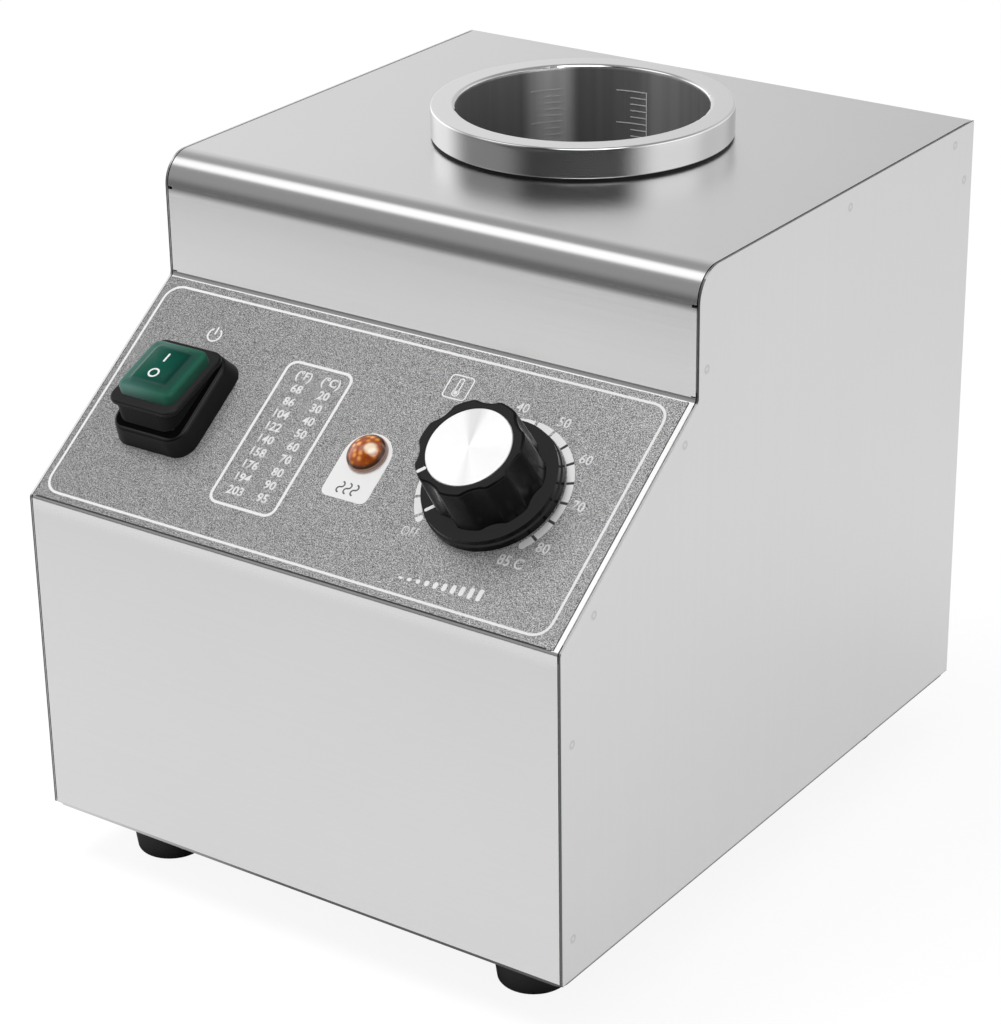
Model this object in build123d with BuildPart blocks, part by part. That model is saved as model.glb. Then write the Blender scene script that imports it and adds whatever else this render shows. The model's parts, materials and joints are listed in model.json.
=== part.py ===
from build123d import *
import os
from math import atan2, cos, degrees, hypot, radians, sin, tan

# A counter-top sauce warmer for one squeeze bottle: a folded stainless cabinet on rubber feet, with a
# heated well under a polished collar and a sloping control panel. Sizes are in millimetres. X runs to
# the right seen from the front, Y to the rear and Z up from the counter.

os.makedirs("parts", exist_ok=True)

# Cabinet: one folded sheet from the front over the top, two side panels, a rear panel and a base plate
body_width = 198.4
body_depth = 240.0
body_height = 199.2
front_height = 108.7
slope_run = 72.0
slope_height = 159.7
bullnose_radius = 10.0
sheet = 1.0
side_sheet = 0.7
seam_gap = 0.4
bend_radius = 0.5
crease_radius = 2.0
flange_width = 12.0
fold_relief = 3.0
notch_depth = 1.6
notch_height = 0.9

# Base plate and feet
base_sheet = 1.0
base_margin = 0.6
base_corner = 3.0
end_screw_spacing = 97.5
side_screw_spacing = 80.0
foot_height = 18.3
foot_top_radius = 13.5
foot_bottom_radius = 11.1
foot_edge_radius = 1.5
foot_recess_radius = 5.5
foot_recess_depth = 9.0
front_foot_inset = 25.0
front_foot_side_inset = 27.4
rear_foot_inset = 28.0
rear_foot_side_inset = 26.6

# Vent slots in the rear panel and the base plate
vent_length = 34.0
vent_width = 4.0
vent_pitch = 10.0
vent_spread = 46.0
vent_rows = 4
vent_columns = 3
rear_vent_height = 130.0

# Heated well, its collar and what holds it
well_setback = 161.5
well_radius = 40.5
well_depth = 150.0
cup_wall = 1.0
cup_corner = 6.0
collar_radius = 48.75
collar_skirt = 9.7
collar_edge = 0.8
collar_hem = 0.4
collar_lip = 1.4
gasket_height = 0.9
gasket_inset = 0.4
gasket_width = 1.6
well_clearance = 0.5
stud_count = 3
stud_tail = 6.0

# Band heater, insulation and cut-out
band_thickness = 3.0
band_height = 70.0
band_rise = 6.0
band_gap = 7.0
ear_thickness = 2.0
ear_reach = 12.0
ear_bolt_inset = 15.0
insulation_thickness = 10.0
insulation_overhang = 5.0
insulation_slot = 30.0
cutout_radius = 8.0
cutout_height = 9.0
cutout_flange = 1.0
cutout_flange_width = 9.0
cutout_hole_spacing = 24.0
cutout_tab_width = 6.3
cutout_tab_length = 8.0

# Sensor bulb in its pocket and the capillary to the thermostat
bulb_radius = 3.0
bulb_tail = 3.0
pocket_wall = 0.8
pocket_length = 34.0
pocket_rise = 5.0
capillary_radius = 0.9
capillary_bend = 8.0
capillary_drop = 34.0

# Control label on the slope
label_sheet = 0.3
label_left_margin = 0.1
label_right_margin = 2.25
label_front_margin = 0.45
label_rear_margin = 1.1
label_corner = 0.8

# Rocker switch
switch_inset = 30.9
switch_v = -0.3
bezel_width = 31.0
bezel_length = 36.6
bezel_corner = 6.5
bezel_top_width = 28.2
bezel_top_length = 34.0
bezel_height = 7.0
bezel_edge = 1.2
switch_body_width = 24.0
switch_body_length = 29.0
switch_depth = 24.0
rocker_well_width = 18.0
rocker_well_length = 25.0
rocker_well_depth = 8.0
pivot_height = 3.0
rocker_tilt = 12.5
trunnion_radius = 2.0
trunnion_grip = 2.0
stem_width = 14.0
stem_length = 12.0
stem_tail = 4.0
rocker_width = 26.4
rocker_length = 29.4
rocker_corner = 4.0
rocker_flange = 1.8
rocker_edge = 0.6
rocker_rise = 7.8
lens_width = 21.6
lens_length = 22.4
lens_thickness = 3.4
lens_corner = 3.0
lens_edge = 1.2
plateau_foot_width = 16.4
plateau_foot_length = 18.4
plateau_width = 13.0
plateau_length = 16.0
plateau_corner = 1.5
plateau_height = 1.3
boot_wall = 3.0
boot_step = 0.8
boot_gap = 0.1
tab_width = 6.3
tab_thickness = 0.8
tab_length = 9.0

# Pilot lamp
lamp_u = 6.2
lamp_flange_radius = 6.7
lamp_flange_height = 0.7
lamp_dome_radius = 6.4
lamp_wall_height = 0.6
lamp_crown_height = 3.0
lamp_body_radius = 4.9
lamp_depth = 22.0
lamp_nut_radius = 8.0
lamp_nut_height = 3.0
lamp_pin_radius = 0.9
lamp_pin_length = 7.0
lamp_pin_spacing = 5.0

# Thermostat and its knob
knob_inset = 45.55
thermostat_width = 40.0
thermostat_length = 44.0
thermostat_depth = 25.0
thermostat_corner = 2.0
thermostat_boss_radius = 4.9
thermostat_screw_spacing = 28.0
thermostat_screw_bite = 6.0
shaft_radius = 3.0
shaft_seat = 14.0
shaft_flat = 1.2
shaft_engagement = 11.0
knob_reach = 22.5
knob_gap = 1.0
knob_rim_radius = 21.8
knob_rim_height = 2.2
knob_groove = 0.9
knob_groove_height = 0.5
knob_flange_radius = 21.3
knob_flange_height = 1.8
knob_wall = 1.6
grip_radius = 17.55
grip_taper = 2.5
grip_edge = 0.8
lobe_count = 7
lobe_rounding = 3.0
scallop_radius = 9.0
scallop_depth = 1.3
hub_radius = 5.5
rib_thickness = 1.2
rib_count = 3
disc_radius = 13.4
disc_thickness = 1.0
disc_edge = 0.2
pointer_angle = 223.5

# Terminal block and earth stud on the base plate
block_width = 34.0
block_depth = 22.0
block_height = 18.0
block_corner = 2.0
block_x = -40.0
block_setback = 30.0
pole_spacing = 20.0
wire_hole_radius = 2.0
clamp_screw_radius = 1.6
clamp_screw_height = 5.0
clamp_row_spacing = 11.0
earth_x = 30.0
earth_setback = 26.0
earth_stud_length = 16.0

# Cable gland low on the rear panel
gland_x = -60.0
gland_rise = 32.0
gland_flats = 19.0
gland_flange_height = 5.0
gland_cap_length = 16.0
gland_cap_radius = 9.2
gland_cap_shoulder = 8.0
gland_mouth_radius = 7.0
gland_mouth_edge = 1.0
gland_thread_radius = 7.6
gland_thread_length = 8.0
gland_nut_flats = 19.0
gland_nut_height = 4.0
gland_bore_radius = 5.6
gland_seal_length = 12.0
cable_radius = 3.9

# Fasteners and fits
m3_radius = 1.5
m3_nut_flats = 5.5
m3_nut_height = 2.4
m4_radius = 2.0
m4_head_radius = 3.7
m4_head_height = 2.3
m4_nut_flats = 7.0
m4_nut_height = 3.2
m5_radius = 2.5
m5_nut_flats = 8.0
m5_nut_height = 4.0
head_bevel = 0.6
tapping_length = 8.0
hole_clearance = 0.2
thread_gap = 0.05
fit_gap = 0.1
running_gap = 0.05

# Places worked out from the sizes above
inner_width = body_width - 2 * side_sheet
shell_width = inner_width - 2 * seam_gap
gland_reach = gland_flange_height + gland_cap_length
front_y = -(body_depth + gland_reach) / 2
rear_y = front_y + body_depth
base_z = foot_height + base_sheet
top_z = base_z + body_height
slope_rise = slope_height - front_height
slope_angle = degrees(atan2(slope_rise, slope_run))
slope_length = hypot(slope_run, slope_rise)
label_width = shell_width - label_left_margin - label_right_margin
label_length = slope_length - label_front_margin - label_rear_margin
label_u = (label_left_margin - label_right_margin) / 2
label_v = (label_front_margin - label_rear_margin) / 2
switch_u = switch_inset - shell_width / 2
knob_u = shell_width / 2 - knob_inset
well_y = front_y + well_setback
cup_radius = well_radius + cup_wall
collar_bottom = top_z + gasket_height
collar_top = collar_bottom + collar_skirt
cup_bottom = collar_top - well_depth - cup_wall
stud_circle = (cup_radius + collar_radius - cup_wall) / 2
outer_bends = [bend_radius + sheet, crease_radius, bullnose_radius]
inner_bends = [bend_radius, crease_radius + sheet, bullnose_radius - sheet]

# The control plane lies on the slope's outer face: local X to the right, local Y up the slope
control = Plane(
    origin=(0, front_y + slope_run / 2, base_z + front_height + slope_rise / 2),
    x_dir=(1, 0, 0),
    z_dir=(0, -sin(radians(slope_angle)), cos(radians(slope_angle))),
)


def folds(inset):
    """Corners of the side profile, moved inwards: low fold, high fold and bullnose."""
    drop = inset * tan(radians((90 - slope_angle) / 2))
    riser_y = front_y + slope_run + inset
    low_fold = (front_y + inset, base_z + front_height - drop)
    high_fold = (riser_y, base_z + slope_height - drop)
    return low_fold, high_fold, (riser_y, top_z - inset)


def side_profile(inset, bottom, rear, radii, mode=Mode.ADD):
    """Draw the side profile, moved inwards, between a bottom and a rear limit."""
    low_fold, high_fold, nose = folds(inset)
    start = (low_fold[0], bottom)
    end = (rear, nose[1])
    with BuildLine() as outline:
        FilletPolyline(start, low_fold, high_fold, nose, end, radius=radii)
        Polyline(end, (rear, bottom), start)
    make_face(outline.edges(), mode=mode)


def upright_section(x, y):
    """Plane through a vertical axis: local X is the radius, local Y the height."""
    return Plane(origin=(x, y, 0), x_dir=(1, 0, 0), z_dir=(0, -1, 0))


def panel_section(u):
    """Plane through a control's axis: local X is the radius, local Y the height over the slope."""
    return Plane(origin=control.from_local_coords((u, 0, 0)), x_dir=(1, 0, 0), z_dir=-control.y_dir)


def corner_at(sketch, point):
    """Vertex of an open sketch nearest to a point."""
    return sketch.vertices().sort_by_distance(point)[0]


def hex_nut(flats, shank_radius, rotation=0):
    """Draw a hexagon nut with its thread hole in the sketch that is open."""
    RegularPolygon(flats / 2, 6, major_radius=False, rotation=rotation)
    Circle(shank_radius + thread_gap, mode=Mode.SUBTRACT)


# Screw places shared by the base plate and the bottom flanges
flange_middle = (flange_width + sheet) / 2
body_middle = (front_y + rear_y) / 2
front_screws = [(side * end_screw_spacing / 2, front_y + flange_middle) for side in (-1, 1)]
rear_screws = [(side * end_screw_spacing / 2, rear_y - flange_middle) for side in (-1, 1)]
side_screw_x = inner_width / 2 - flange_middle
side_screws = {
    side: [(side * side_screw_x, body_middle + end * side_screw_spacing / 2) for end in (-1, 1)]
    for side in (-1, 1)
}
base_screw_places = front_screws + rear_screws + side_screws[-1] + side_screws[1]
tapping_radius = m4_radius + hole_clearance

# Front and top shell: front, control slope, riser, bullnose and top in one folded sheet
with BuildPart() as front_top_shell:
    with BuildSketch(Plane.YZ):
        side_profile(0, base_z, rear_y, outer_bends)
        side_profile(sheet, base_z - sheet, rear_y + sheet, inner_bends, Mode.SUBTRACT)
    extrude(amount=shell_width / 2, both=True)
    # side flanges against the side panels, left out round the bullnose and notched at the folds
    with BuildSketch(Plane.YZ.offset(inner_width / 2 - sheet)):
        side_profile(sheet, base_z, rear_y - flange_width - fold_relief, inner_bends)
        side_profile(flange_width, base_z - sheet, rear_y, inner_bends, Mode.SUBTRACT)
        with Locations(*folds(sheet)[:2]):
            Circle(fold_relief, mode=Mode.SUBTRACT)
        with Locations(folds(0)[2]):
            Rectangle(2 * bullnose_radius, 2 * bullnose_radius, mode=Mode.SUBTRACT)
    side_flange = extrude(amount=sheet)
    mirror(side_flange, about=Plane.YZ)
    # notches in the riser's edges, under the bullnose and over the slope's fold
    with BuildSketch(Plane.XZ.offset(-front_y - slope_run)):
        for notch_z in (top_z - bullnose_radius - notch_height, base_z + slope_height + bend_radius):
            with Locations((0, notch_z + notch_height / 2)):
                with GridLocations(inner_width, 1, 2, 1):
                    Rectangle(2 * (seam_gap + notch_depth), notch_height)
    extrude(amount=-flange_width, mode=Mode.SUBTRACT)
    # bottom flange that takes the base plate's front screws
    with BuildSketch(Plane.XY.offset(base_z)):
        with Locations((0, front_y + sheet)):
            Rectangle(
                inner_width - 2 * (sheet + fold_relief), flange_width - sheet, align=(Align.CENTER, Align.MIN)
            )
        with Locations(*front_screws):
            Circle(tapping_radius, mode=Mode.SUBTRACT)
    extrude(amount=sheet)
    # openings for the switch, the lamp and the thermostat
    with BuildSketch(control):
        with Locations((switch_u, switch_v)):
            Rectangle(switch_body_width + 2 * hole_clearance, switch_body_length + 2 * hole_clearance)
        with Locations((lamp_u, 0)):
            Circle(lamp_body_radius + hole_clearance)
        with Locations((knob_u, 0)):
            Circle(thermostat_boss_radius + hole_clearance)
            with GridLocations(thermostat_screw_spacing, 1, 2, 1):
                Circle(m4_radius + hole_clearance)
    extrude(amount=-sheet, mode=Mode.SUBTRACT)
    # opening for the well, with the holes of its studs
    with BuildSketch(Plane.XY.offset(top_z)):
        with Locations((0, well_y)):
            Circle(cup_radius + well_clearance)
            with PolarLocations(stud_circle, stud_count, start_angle=90):
                Circle(m3_radius + hole_clearance)
    extrude(amount=-sheet, mode=Mode.SUBTRACT)
front_top_shell.part.label = "front_top_shell"
export_step(front_top_shell.part, "parts/front_top_shell.step")

# Side panels: flat sheets with the cabinet's profile and a flange along the bottom
for side, side_name in ((-1, "left_side_panel"), (1, "right_side_panel")):
    inner_x = side * inner_width / 2
    with BuildPart() as side_panel:
        with BuildSketch(Plane.YZ.offset(inner_x)):
            side_profile(0, base_z, rear_y, outer_bends)
        extrude(amount=side * side_sheet)
        with BuildSketch(Plane.XY.offset(base_z)):
            with Locations((inner_x - side * flange_width / 2, body_middle)):
                Rectangle(flange_width, body_depth - 2 * (flange_width + fold_relief))
            with Locations(*side_screws[side]):
                Circle(tapping_radius, mode=Mode.SUBTRACT)
        extrude(amount=side_sheet)
    side_panel.part.label = side_name
    export_step(side_panel.part, f"parts/{side_name}.step")

# Rear panel: a shallow channel between the side panels, with vents and the gland's hole
gland_z = base_z + gland_rise
with BuildPart() as rear_panel:
    with BuildSketch(Plane.XY.offset(base_z)) as channel:
        with Locations((0, rear_y)):
            Rectangle(inner_width, flange_width, align=(Align.CENTER, Align.MAX))
        fillet(channel.vertices().group_by(Axis.Y)[-1], bend_radius + sheet)
        with Locations((0, rear_y - sheet)):
            Rectangle(
                inner_width - 2 * sheet, flange_width, align=(Align.CENTER, Align.MAX), mode=Mode.SUBTRACT
            )
    extrude(amount=body_height - sheet)
    with BuildSketch(Plane.XY.offset(base_z)):
        with Locations((0, rear_y - sheet)):
            Rectangle(
                inner_width - 2 * (sheet + fold_relief), flange_width - sheet, align=(Align.CENTER, Align.MAX)
            )
        with Locations(*rear_screws):
            Circle(tapping_radius, mode=Mode.SUBTRACT)
    extrude(amount=sheet)
    with BuildSketch(Plane.XZ.offset(-rear_y)):
        with Locations((0, base_z + rear_vent_height)):
            with GridLocations(vent_spread, vent_pitch, vent_columns, vent_rows):
                SlotOverall(vent_length, vent_width)
        with Locations((gland_x, gland_z)):
            Circle(gland_thread_radius + hole_clearance)
    extrude(amount=sheet, mode=Mode.SUBTRACT)
rear_panel.part.label = "rear_panel"
export_step(rear_panel.part, "parts/rear_panel.step")

# Base plate with vents, screwed up into the bottom flanges
front_foot_x = body_width / 2 - front_foot_side_inset
rear_foot_x = body_width / 2 - rear_foot_side_inset
foot_places = {
    "foot_front_left": (-front_foot_x, front_y + front_foot_inset),
    "foot_front_right": (front_foot_x, front_y + front_foot_inset),
    "foot_rear_left": (-rear_foot_x, rear_y - rear_foot_inset),
    "foot_rear_right": (rear_foot_x, rear_y - rear_foot_inset),
}
block_place = (block_x, rear_y - block_setback)
earth_place = (earth_x, rear_y - earth_setback)
with BuildPart() as base_plate:
    with BuildSketch(Plane.XY.offset(base_z - base_sheet)):
        with Locations((0, body_middle)):
            RectangleRounded(body_width - 2 * base_margin, body_depth - 2 * base_margin, base_corner)
            with GridLocations(vent_spread, vent_pitch, vent_columns, vent_rows):
                SlotOverall(vent_length, vent_width, mode=Mode.SUBTRACT)
        with Locations(*base_screw_places, *foot_places.values(), block_place):
            Circle(m4_radius + hole_clearance, mode=Mode.SUBTRACT)
        with Locations(earth_place):
            Circle(m5_radius + thread_gap, mode=Mode.SUBTRACT)
    extrude(amount=base_sheet)
base_plate.part.label = "base_plate"
export_step(base_plate.part, "parts/base_plate.step")

# Self-tapping screws under the base plate
with BuildPart() as base_screws:
    with BuildSketch(Plane.XY.offset(base_z - base_sheet)):
        with Locations(*base_screw_places):
            Circle(m4_head_radius)
    extrude(amount=-m4_head_height)
    chamfer(base_screws.edges().group_by(Axis.Z)[0], head_bevel)
    with BuildSketch(Plane.XY.offset(base_z - base_sheet)):
        with Locations(*base_screw_places):
            Circle(m4_radius)
    extrude(amount=tapping_length)
base_screws.part.label = "base_screws"
export_step(base_screws.part, "parts/base_screws.step")

# Rubber feet: tapered, with a rounded bottom edge and a recess for the screw's head
for foot_name, (foot_place_x, foot_place_y) in foot_places.items():
    with BuildPart() as foot:
        with BuildSketch(upright_section(foot_place_x, foot_place_y)) as foot_section:
            with BuildLine():
                Polyline(
                    (foot_recess_radius, 0),
                    (foot_bottom_radius, 0),
                    (foot_top_radius, foot_height),
                    (m4_radius + hole_clearance, foot_height),
                    (m4_radius + hole_clearance, foot_recess_depth),
                    (foot_recess_radius, foot_recess_depth),
                    close=True,
                )
            make_face()
            fillet(corner_at(foot_section, (foot_bottom_radius, 0)), foot_edge_radius)
        revolve(axis=Axis((foot_place_x, foot_place_y, 0), (0, 0, 1)))
    foot.part.label = foot_name
    export_step(foot.part, f"parts/{foot_name}.step")

# Screws and nuts of the feet
with BuildPart() as foot_screws:
    with BuildSketch(Plane.XY.offset(foot_recess_depth)):
        with Locations(*foot_places.values()):
            Circle(m4_head_radius)
    extrude(amount=-m4_head_height)
    chamfer(foot_screws.edges().group_by(Axis.Z)[0], head_bevel)
    with BuildSketch(Plane.XY.offset(foot_recess_depth)):
        with Locations(*foot_places.values()):
            Circle(m4_radius)
    extrude(amount=base_z - foot_recess_depth + m4_nut_height + m4_radius)
foot_screws.part.label = "foot_screws"
export_step(foot_screws.part, "parts/foot_screws.step")

with BuildPart() as foot_nuts:
    with BuildSketch(Plane.XY.offset(base_z)):
        with Locations(*foot_places.values()):
            hex_nut(m4_nut_flats, m4_radius)
    extrude(amount=m4_nut_height)
foot_nuts.part.label = "foot_nuts"
export_step(foot_nuts.part, "parts/foot_nuts.step")

# Well cup: a drawn cup whose rim folds outwards and down into the collar
well_axis = Axis((0, well_y, 0), (0, 0, 1))
with BuildPart() as well_cup:
    with BuildSketch(upright_section(0, well_y)) as cup_section:
        with BuildLine():
            Polyline(
                (0, cup_bottom),
                (cup_radius, cup_bottom),
                (cup_radius, collar_top - cup_wall),
                (collar_radius - cup_wall, collar_top - cup_wall),
                (collar_radius - cup_wall, collar_bottom),
                (collar_radius, collar_bottom),
                (collar_radius, collar_top),
                (well_radius, collar_top),
                (well_radius, cup_bottom + cup_wall),
                (0, cup_bottom + cup_wall),
                close=True,
            )
        make_face()
        fillet(corner_at(cup_section, (cup_radius, cup_bottom)), cup_corner + cup_wall)
        fillet(corner_at(cup_section, (well_radius, cup_bottom + cup_wall)), cup_corner)
        fillet(corner_at(cup_section, (collar_radius, collar_top)), collar_edge)
        fillet(corner_at(cup_section, (well_radius, collar_top)), collar_lip)
        fillet(corner_at(cup_section, (collar_radius, collar_bottom)), collar_hem)
    revolve(axis=well_axis)
well_cup.part.label = "well_cup"
export_step(well_cup.part, "parts/well_cup.step")

# Gasket that carries the collar's skirt on the top
with BuildPart() as rim_gasket:
    with BuildSketch(Plane.XY.offset(top_z)):
        with Locations((0, well_y)):
            Circle(collar_radius - gasket_inset)
            Circle(collar_radius - gasket_inset - gasket_width, mode=Mode.SUBTRACT)
    extrude(amount=gasket_height)
rim_gasket.part.label = "rim_gasket"
export_step(rim_gasket.part, "parts/rim_gasket.step")

# Studs welded under the collar, with their nuts under the top sheet
stud_bottom = top_z - sheet - m3_nut_height - stud_tail
with BuildPart() as well_studs:
    with BuildSketch(Plane.XY.offset(stud_bottom)):
        with Locations((0, well_y)):
            with PolarLocations(stud_circle, stud_count, start_angle=90):
                Circle(m3_radius)
    extrude(amount=collar_top - cup_wall - stud_bottom)
well_studs.part.label = "well_studs"
export_step(well_studs.part, "parts/well_studs.step")

with BuildPart() as well_nuts:
    with BuildSketch(Plane.XY.offset(top_z - sheet)):
        with Locations((0, well_y)):
            with PolarLocations(stud_circle, stud_count, start_angle=90):
                hex_nut(m3_nut_flats, m3_radius, rotation=30)
    extrude(amount=-m3_nut_height)
well_nuts.part.label = "well_nuts"
export_step(well_nuts.part, "parts/well_nuts.step")

# Band heater round the cup, split at the rear between two clamping ears
band_bottom = cup_bottom + cup_corner + cup_wall + band_rise
band_inner = cup_radius + fit_gap
band_outer = band_inner + band_thickness
ear_span = band_gap + 2 * ear_thickness
ear_end = well_y + band_outer + ear_reach
with BuildPart() as heater_band:
    with BuildSketch(Plane.XY.offset(band_bottom)):
        with Locations((0, well_y)):
            Circle(band_outer)
            Rectangle(ear_span, band_outer + ear_reach, align=(Align.CENTER, Align.MIN))
            Circle(band_inner, mode=Mode.SUBTRACT)
            Rectangle(band_gap, band_outer + ear_reach, align=(Align.CENTER, Align.MIN), mode=Mode.SUBTRACT)
    extrude(amount=band_height)
    with BuildSketch(Plane.YZ.offset(-ear_span / 2)):
        with Locations((ear_end - ear_reach / 2, band_bottom + band_height / 2)):
            with GridLocations(1, band_height - 2 * ear_bolt_inset, 1, 2):
                Circle(m4_radius + thread_gap)
    extrude(amount=ear_span, mode=Mode.SUBTRACT)
heater_band.part.label = "heater_band"
export_step(heater_band.part, "parts/heater_band.step")

# Bolts that draw the ears together
with BuildPart() as heater_clamp_bolts:
    with BuildSketch(Plane.YZ.offset(ear_span / 2)):
        with Locations((ear_end - ear_reach / 2, band_bottom + band_height / 2)):
            with GridLocations(1, band_height - 2 * ear_bolt_inset, 1, 2):
                RegularPolygon(m4_nut_flats / 2, 6, major_radius=False)
    extrude(amount=m4_head_height)
    with BuildSketch(Plane.YZ.offset(ear_span / 2)):
        with Locations((ear_end - ear_reach / 2, band_bottom + band_height / 2)):
            with GridLocations(1, band_height - 2 * ear_bolt_inset, 1, 2):
                Circle(m4_radius)
    extrude(amount=-(ear_span + m4_radius))
heater_clamp_bolts.part.label = "heater_clamp_bolts"
export_step(heater_clamp_bolts.part, "parts/heater_clamp_bolts.step")

# Insulation sleeve round the band, slotted for the ears
insulation_bottom = band_bottom - insulation_overhang
insulation_height = band_height + 2 * insulation_overhang
insulation_radius = band_outer + fit_gap + insulation_thickness
with BuildPart() as insulation_sleeve:
    with BuildSketch(Plane.XY.offset(insulation_bottom)):
        with Locations((0, well_y)):
            Circle(insulation_radius)
            Circle(band_outer + fit_gap, mode=Mode.SUBTRACT)
            Rectangle(insulation_slot, insulation_radius, align=(Align.CENTER, Align.MIN), mode=Mode.SUBTRACT)
    extrude(amount=insulation_height)
insulation_sleeve.part.label = "insulation_sleeve"
export_step(insulation_sleeve.part, "parts/insulation_sleeve.step")

# Thermal cut-out under the cup, held by two welded studs and nuts
cutout_ends = [(side * cutout_hole_spacing / 2, well_y) for side in (-1, 1)]
with BuildPart() as thermal_cutout:
    with BuildSketch(Plane.XY.offset(cup_bottom)):
        with Locations((0, well_y)):
            SlotCenterToCenter(cutout_hole_spacing, cutout_flange_width)
            Circle(cutout_radius + cutout_flange)
        with Locations(*cutout_ends):
            Circle(m3_radius + hole_clearance, mode=Mode.SUBTRACT)
    extrude(amount=-cutout_flange)
    with BuildSketch(Plane.XY.offset(cup_bottom)):
        with Locations((0, well_y)):
            Circle(cutout_radius)
    extrude(amount=-cutout_height)
    with BuildSketch(Plane.XY.offset(cup_bottom - cutout_height)):
        with Locations((0, well_y)):
            with GridLocations(1, cutout_radius, 1, 2):
                Rectangle(cutout_tab_width, tab_thickness)
    extrude(amount=-cutout_tab_length)
thermal_cutout.part.label = "thermal_cutout"
export_step(thermal_cutout.part, "parts/thermal_cutout.step")

with BuildPart() as cutout_studs:
    with BuildSketch(Plane.XY.offset(cup_bottom)):
        with Locations(*cutout_ends):
            Circle(m3_radius)
    extrude(amount=-(cutout_flange + m3_nut_height + m3_radius))
cutout_studs.part.label = "cutout_studs"
export_step(cutout_studs.part, "parts/cutout_studs.step")

with BuildPart() as cutout_nuts:
    with BuildSketch(Plane.XY.offset(cup_bottom - cutout_flange)):
        with Locations(*cutout_ends):
            hex_nut(m3_nut_flats, m3_radius)
    extrude(amount=-m3_nut_height)
cutout_nuts.part.label = "cutout_nuts"
export_step(cutout_nuts.part, "parts/cutout_nuts.step")

# Pocket tube on the front of the cup, with the sensor bulb in it
pocket_inner = bulb_radius + fit_gap
pocket_radius = pocket_inner + pocket_wall
pocket_y = well_y - cup_radius - fit_gap - pocket_radius
pocket_bottom = insulation_bottom + insulation_height + pocket_rise
with BuildPart() as sensor_pocket:
    with BuildSketch(Plane.XY.offset(pocket_bottom)):
        with Locations((0, pocket_y)):
            Circle(pocket_radius)
            Circle(pocket_inner, mode=Mode.SUBTRACT)
    extrude(amount=pocket_length)
sensor_pocket.part.label = "sensor_pocket"
export_step(sensor_pocket.part, "parts/sensor_pocket.step")

bulb_top = pocket_bottom + pocket_length + bulb_tail
with BuildPart() as sensor_bulb:
    with BuildSketch(Plane.XY.offset(bulb_top)):
        with Locations((0, pocket_y)):
            Circle(bulb_radius)
    extrude(amount=-(pocket_length + 2 * bulb_tail))
    chamfer(sensor_bulb.edges().filter_by(GeomType.CIRCLE), bulb_radius / 2)
sensor_bulb.part.label = "sensor_bulb"
export_step(sensor_bulb.part, "parts/sensor_bulb.step")

# Capillary from the bulb, forwards and down to the back of the thermostat
thermostat_back = control.from_local_coords((knob_u, 0, -sheet - thermostat_depth))
capillary_end = thermostat_back - control.z_dir * (thermostat_depth / 2)
capillary_route = [
    Vector(0, pocket_y, bulb_top),
    Vector(0, pocket_y, bulb_top + capillary_bend),
    Vector(knob_u / 2, pocket_y - capillary_bend, bulb_top - capillary_bend),
    Vector(knob_u, pocket_y - 2 * capillary_bend, bulb_top - capillary_drop),
    capillary_end,
    thermostat_back,
]
with BuildPart() as capillary_tube:
    with BuildLine() as capillary_line:
        FilletPolyline(*capillary_route, radius=capillary_bend / 2)
    with BuildSketch(Plane(origin=capillary_route[0], z_dir=(0, 0, 1))):
        Circle(capillary_radius)
    sweep(path=capillary_line.wires()[0])
capillary_tube.part.label = "capillary_tube"
export_step(capillary_tube.part, "parts/capillary_tube.step")

# Printed label over the slope
with BuildPart() as control_label:
    with BuildSketch(control):
        with Locations((label_u, label_v)):
            RectangleRounded(label_width, label_length, label_corner)
        with Locations((switch_u, switch_v)):
            Rectangle(
                switch_body_width + 2 * hole_clearance,
                switch_body_length + 2 * hole_clearance,
                mode=Mode.SUBTRACT,
            )
        with Locations((lamp_u, 0)):
            Circle(lamp_body_radius + hole_clearance, mode=Mode.SUBTRACT)
        with Locations((knob_u, 0)):
            Circle(thermostat_boss_radius + hole_clearance, mode=Mode.SUBTRACT)
            with GridLocations(thermostat_screw_spacing, 1, 2, 1):
                Circle(m4_radius + hole_clearance, mode=Mode.SUBTRACT)
    extrude(amount=label_sheet)
control_label.part.label = "control_label"
export_step(control_label.part, "parts/control_label.step")

# Switch housing: tapered bezel on the label, body behind the slope and sockets for the rocker's pivot
pivot = control.from_local_coords((switch_u, switch_v, pivot_height))
pivot_plane = Plane(origin=pivot, x_dir=control.y_dir, z_dir=(1, 0, 0))
control_axis = Axis(control.origin, control.z_dir)
with BuildPart() as switch_housing:
    with BuildSketch(control.offset(label_sheet)):
        with Locations((switch_u, switch_v)):
            RectangleRounded(bezel_width, bezel_length, bezel_corner)
    with BuildSketch(control.offset(bezel_height)):
        with Locations((switch_u, switch_v)):
            RectangleRounded(bezel_top_width, bezel_top_length, bezel_corner)
    loft()
    fillet(switch_housing.faces().filter_by(control).sort_by(control_axis)[-1].edges(), bezel_edge)
    with BuildSketch(control.offset(label_sheet)):
        with Locations((switch_u, switch_v)):
            Rectangle(switch_body_width, switch_body_length)
    extrude(amount=-(label_sheet + switch_depth))
    with BuildSketch(control.offset(bezel_height)):
        with Locations((switch_u, switch_v)):
            Rectangle(rocker_well_width, rocker_well_length)
    extrude(amount=-(bezel_height + rocker_well_depth), mode=Mode.SUBTRACT)
    with BuildSketch(pivot_plane):
        Circle(trunnion_radius + running_gap)
    extrude(amount=rocker_well_width / 2 + trunnion_grip, both=True, mode=Mode.SUBTRACT)
switch_housing.part.label = "switch_housing"
export_step(switch_housing.part, "parts/switch_housing.step")

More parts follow.
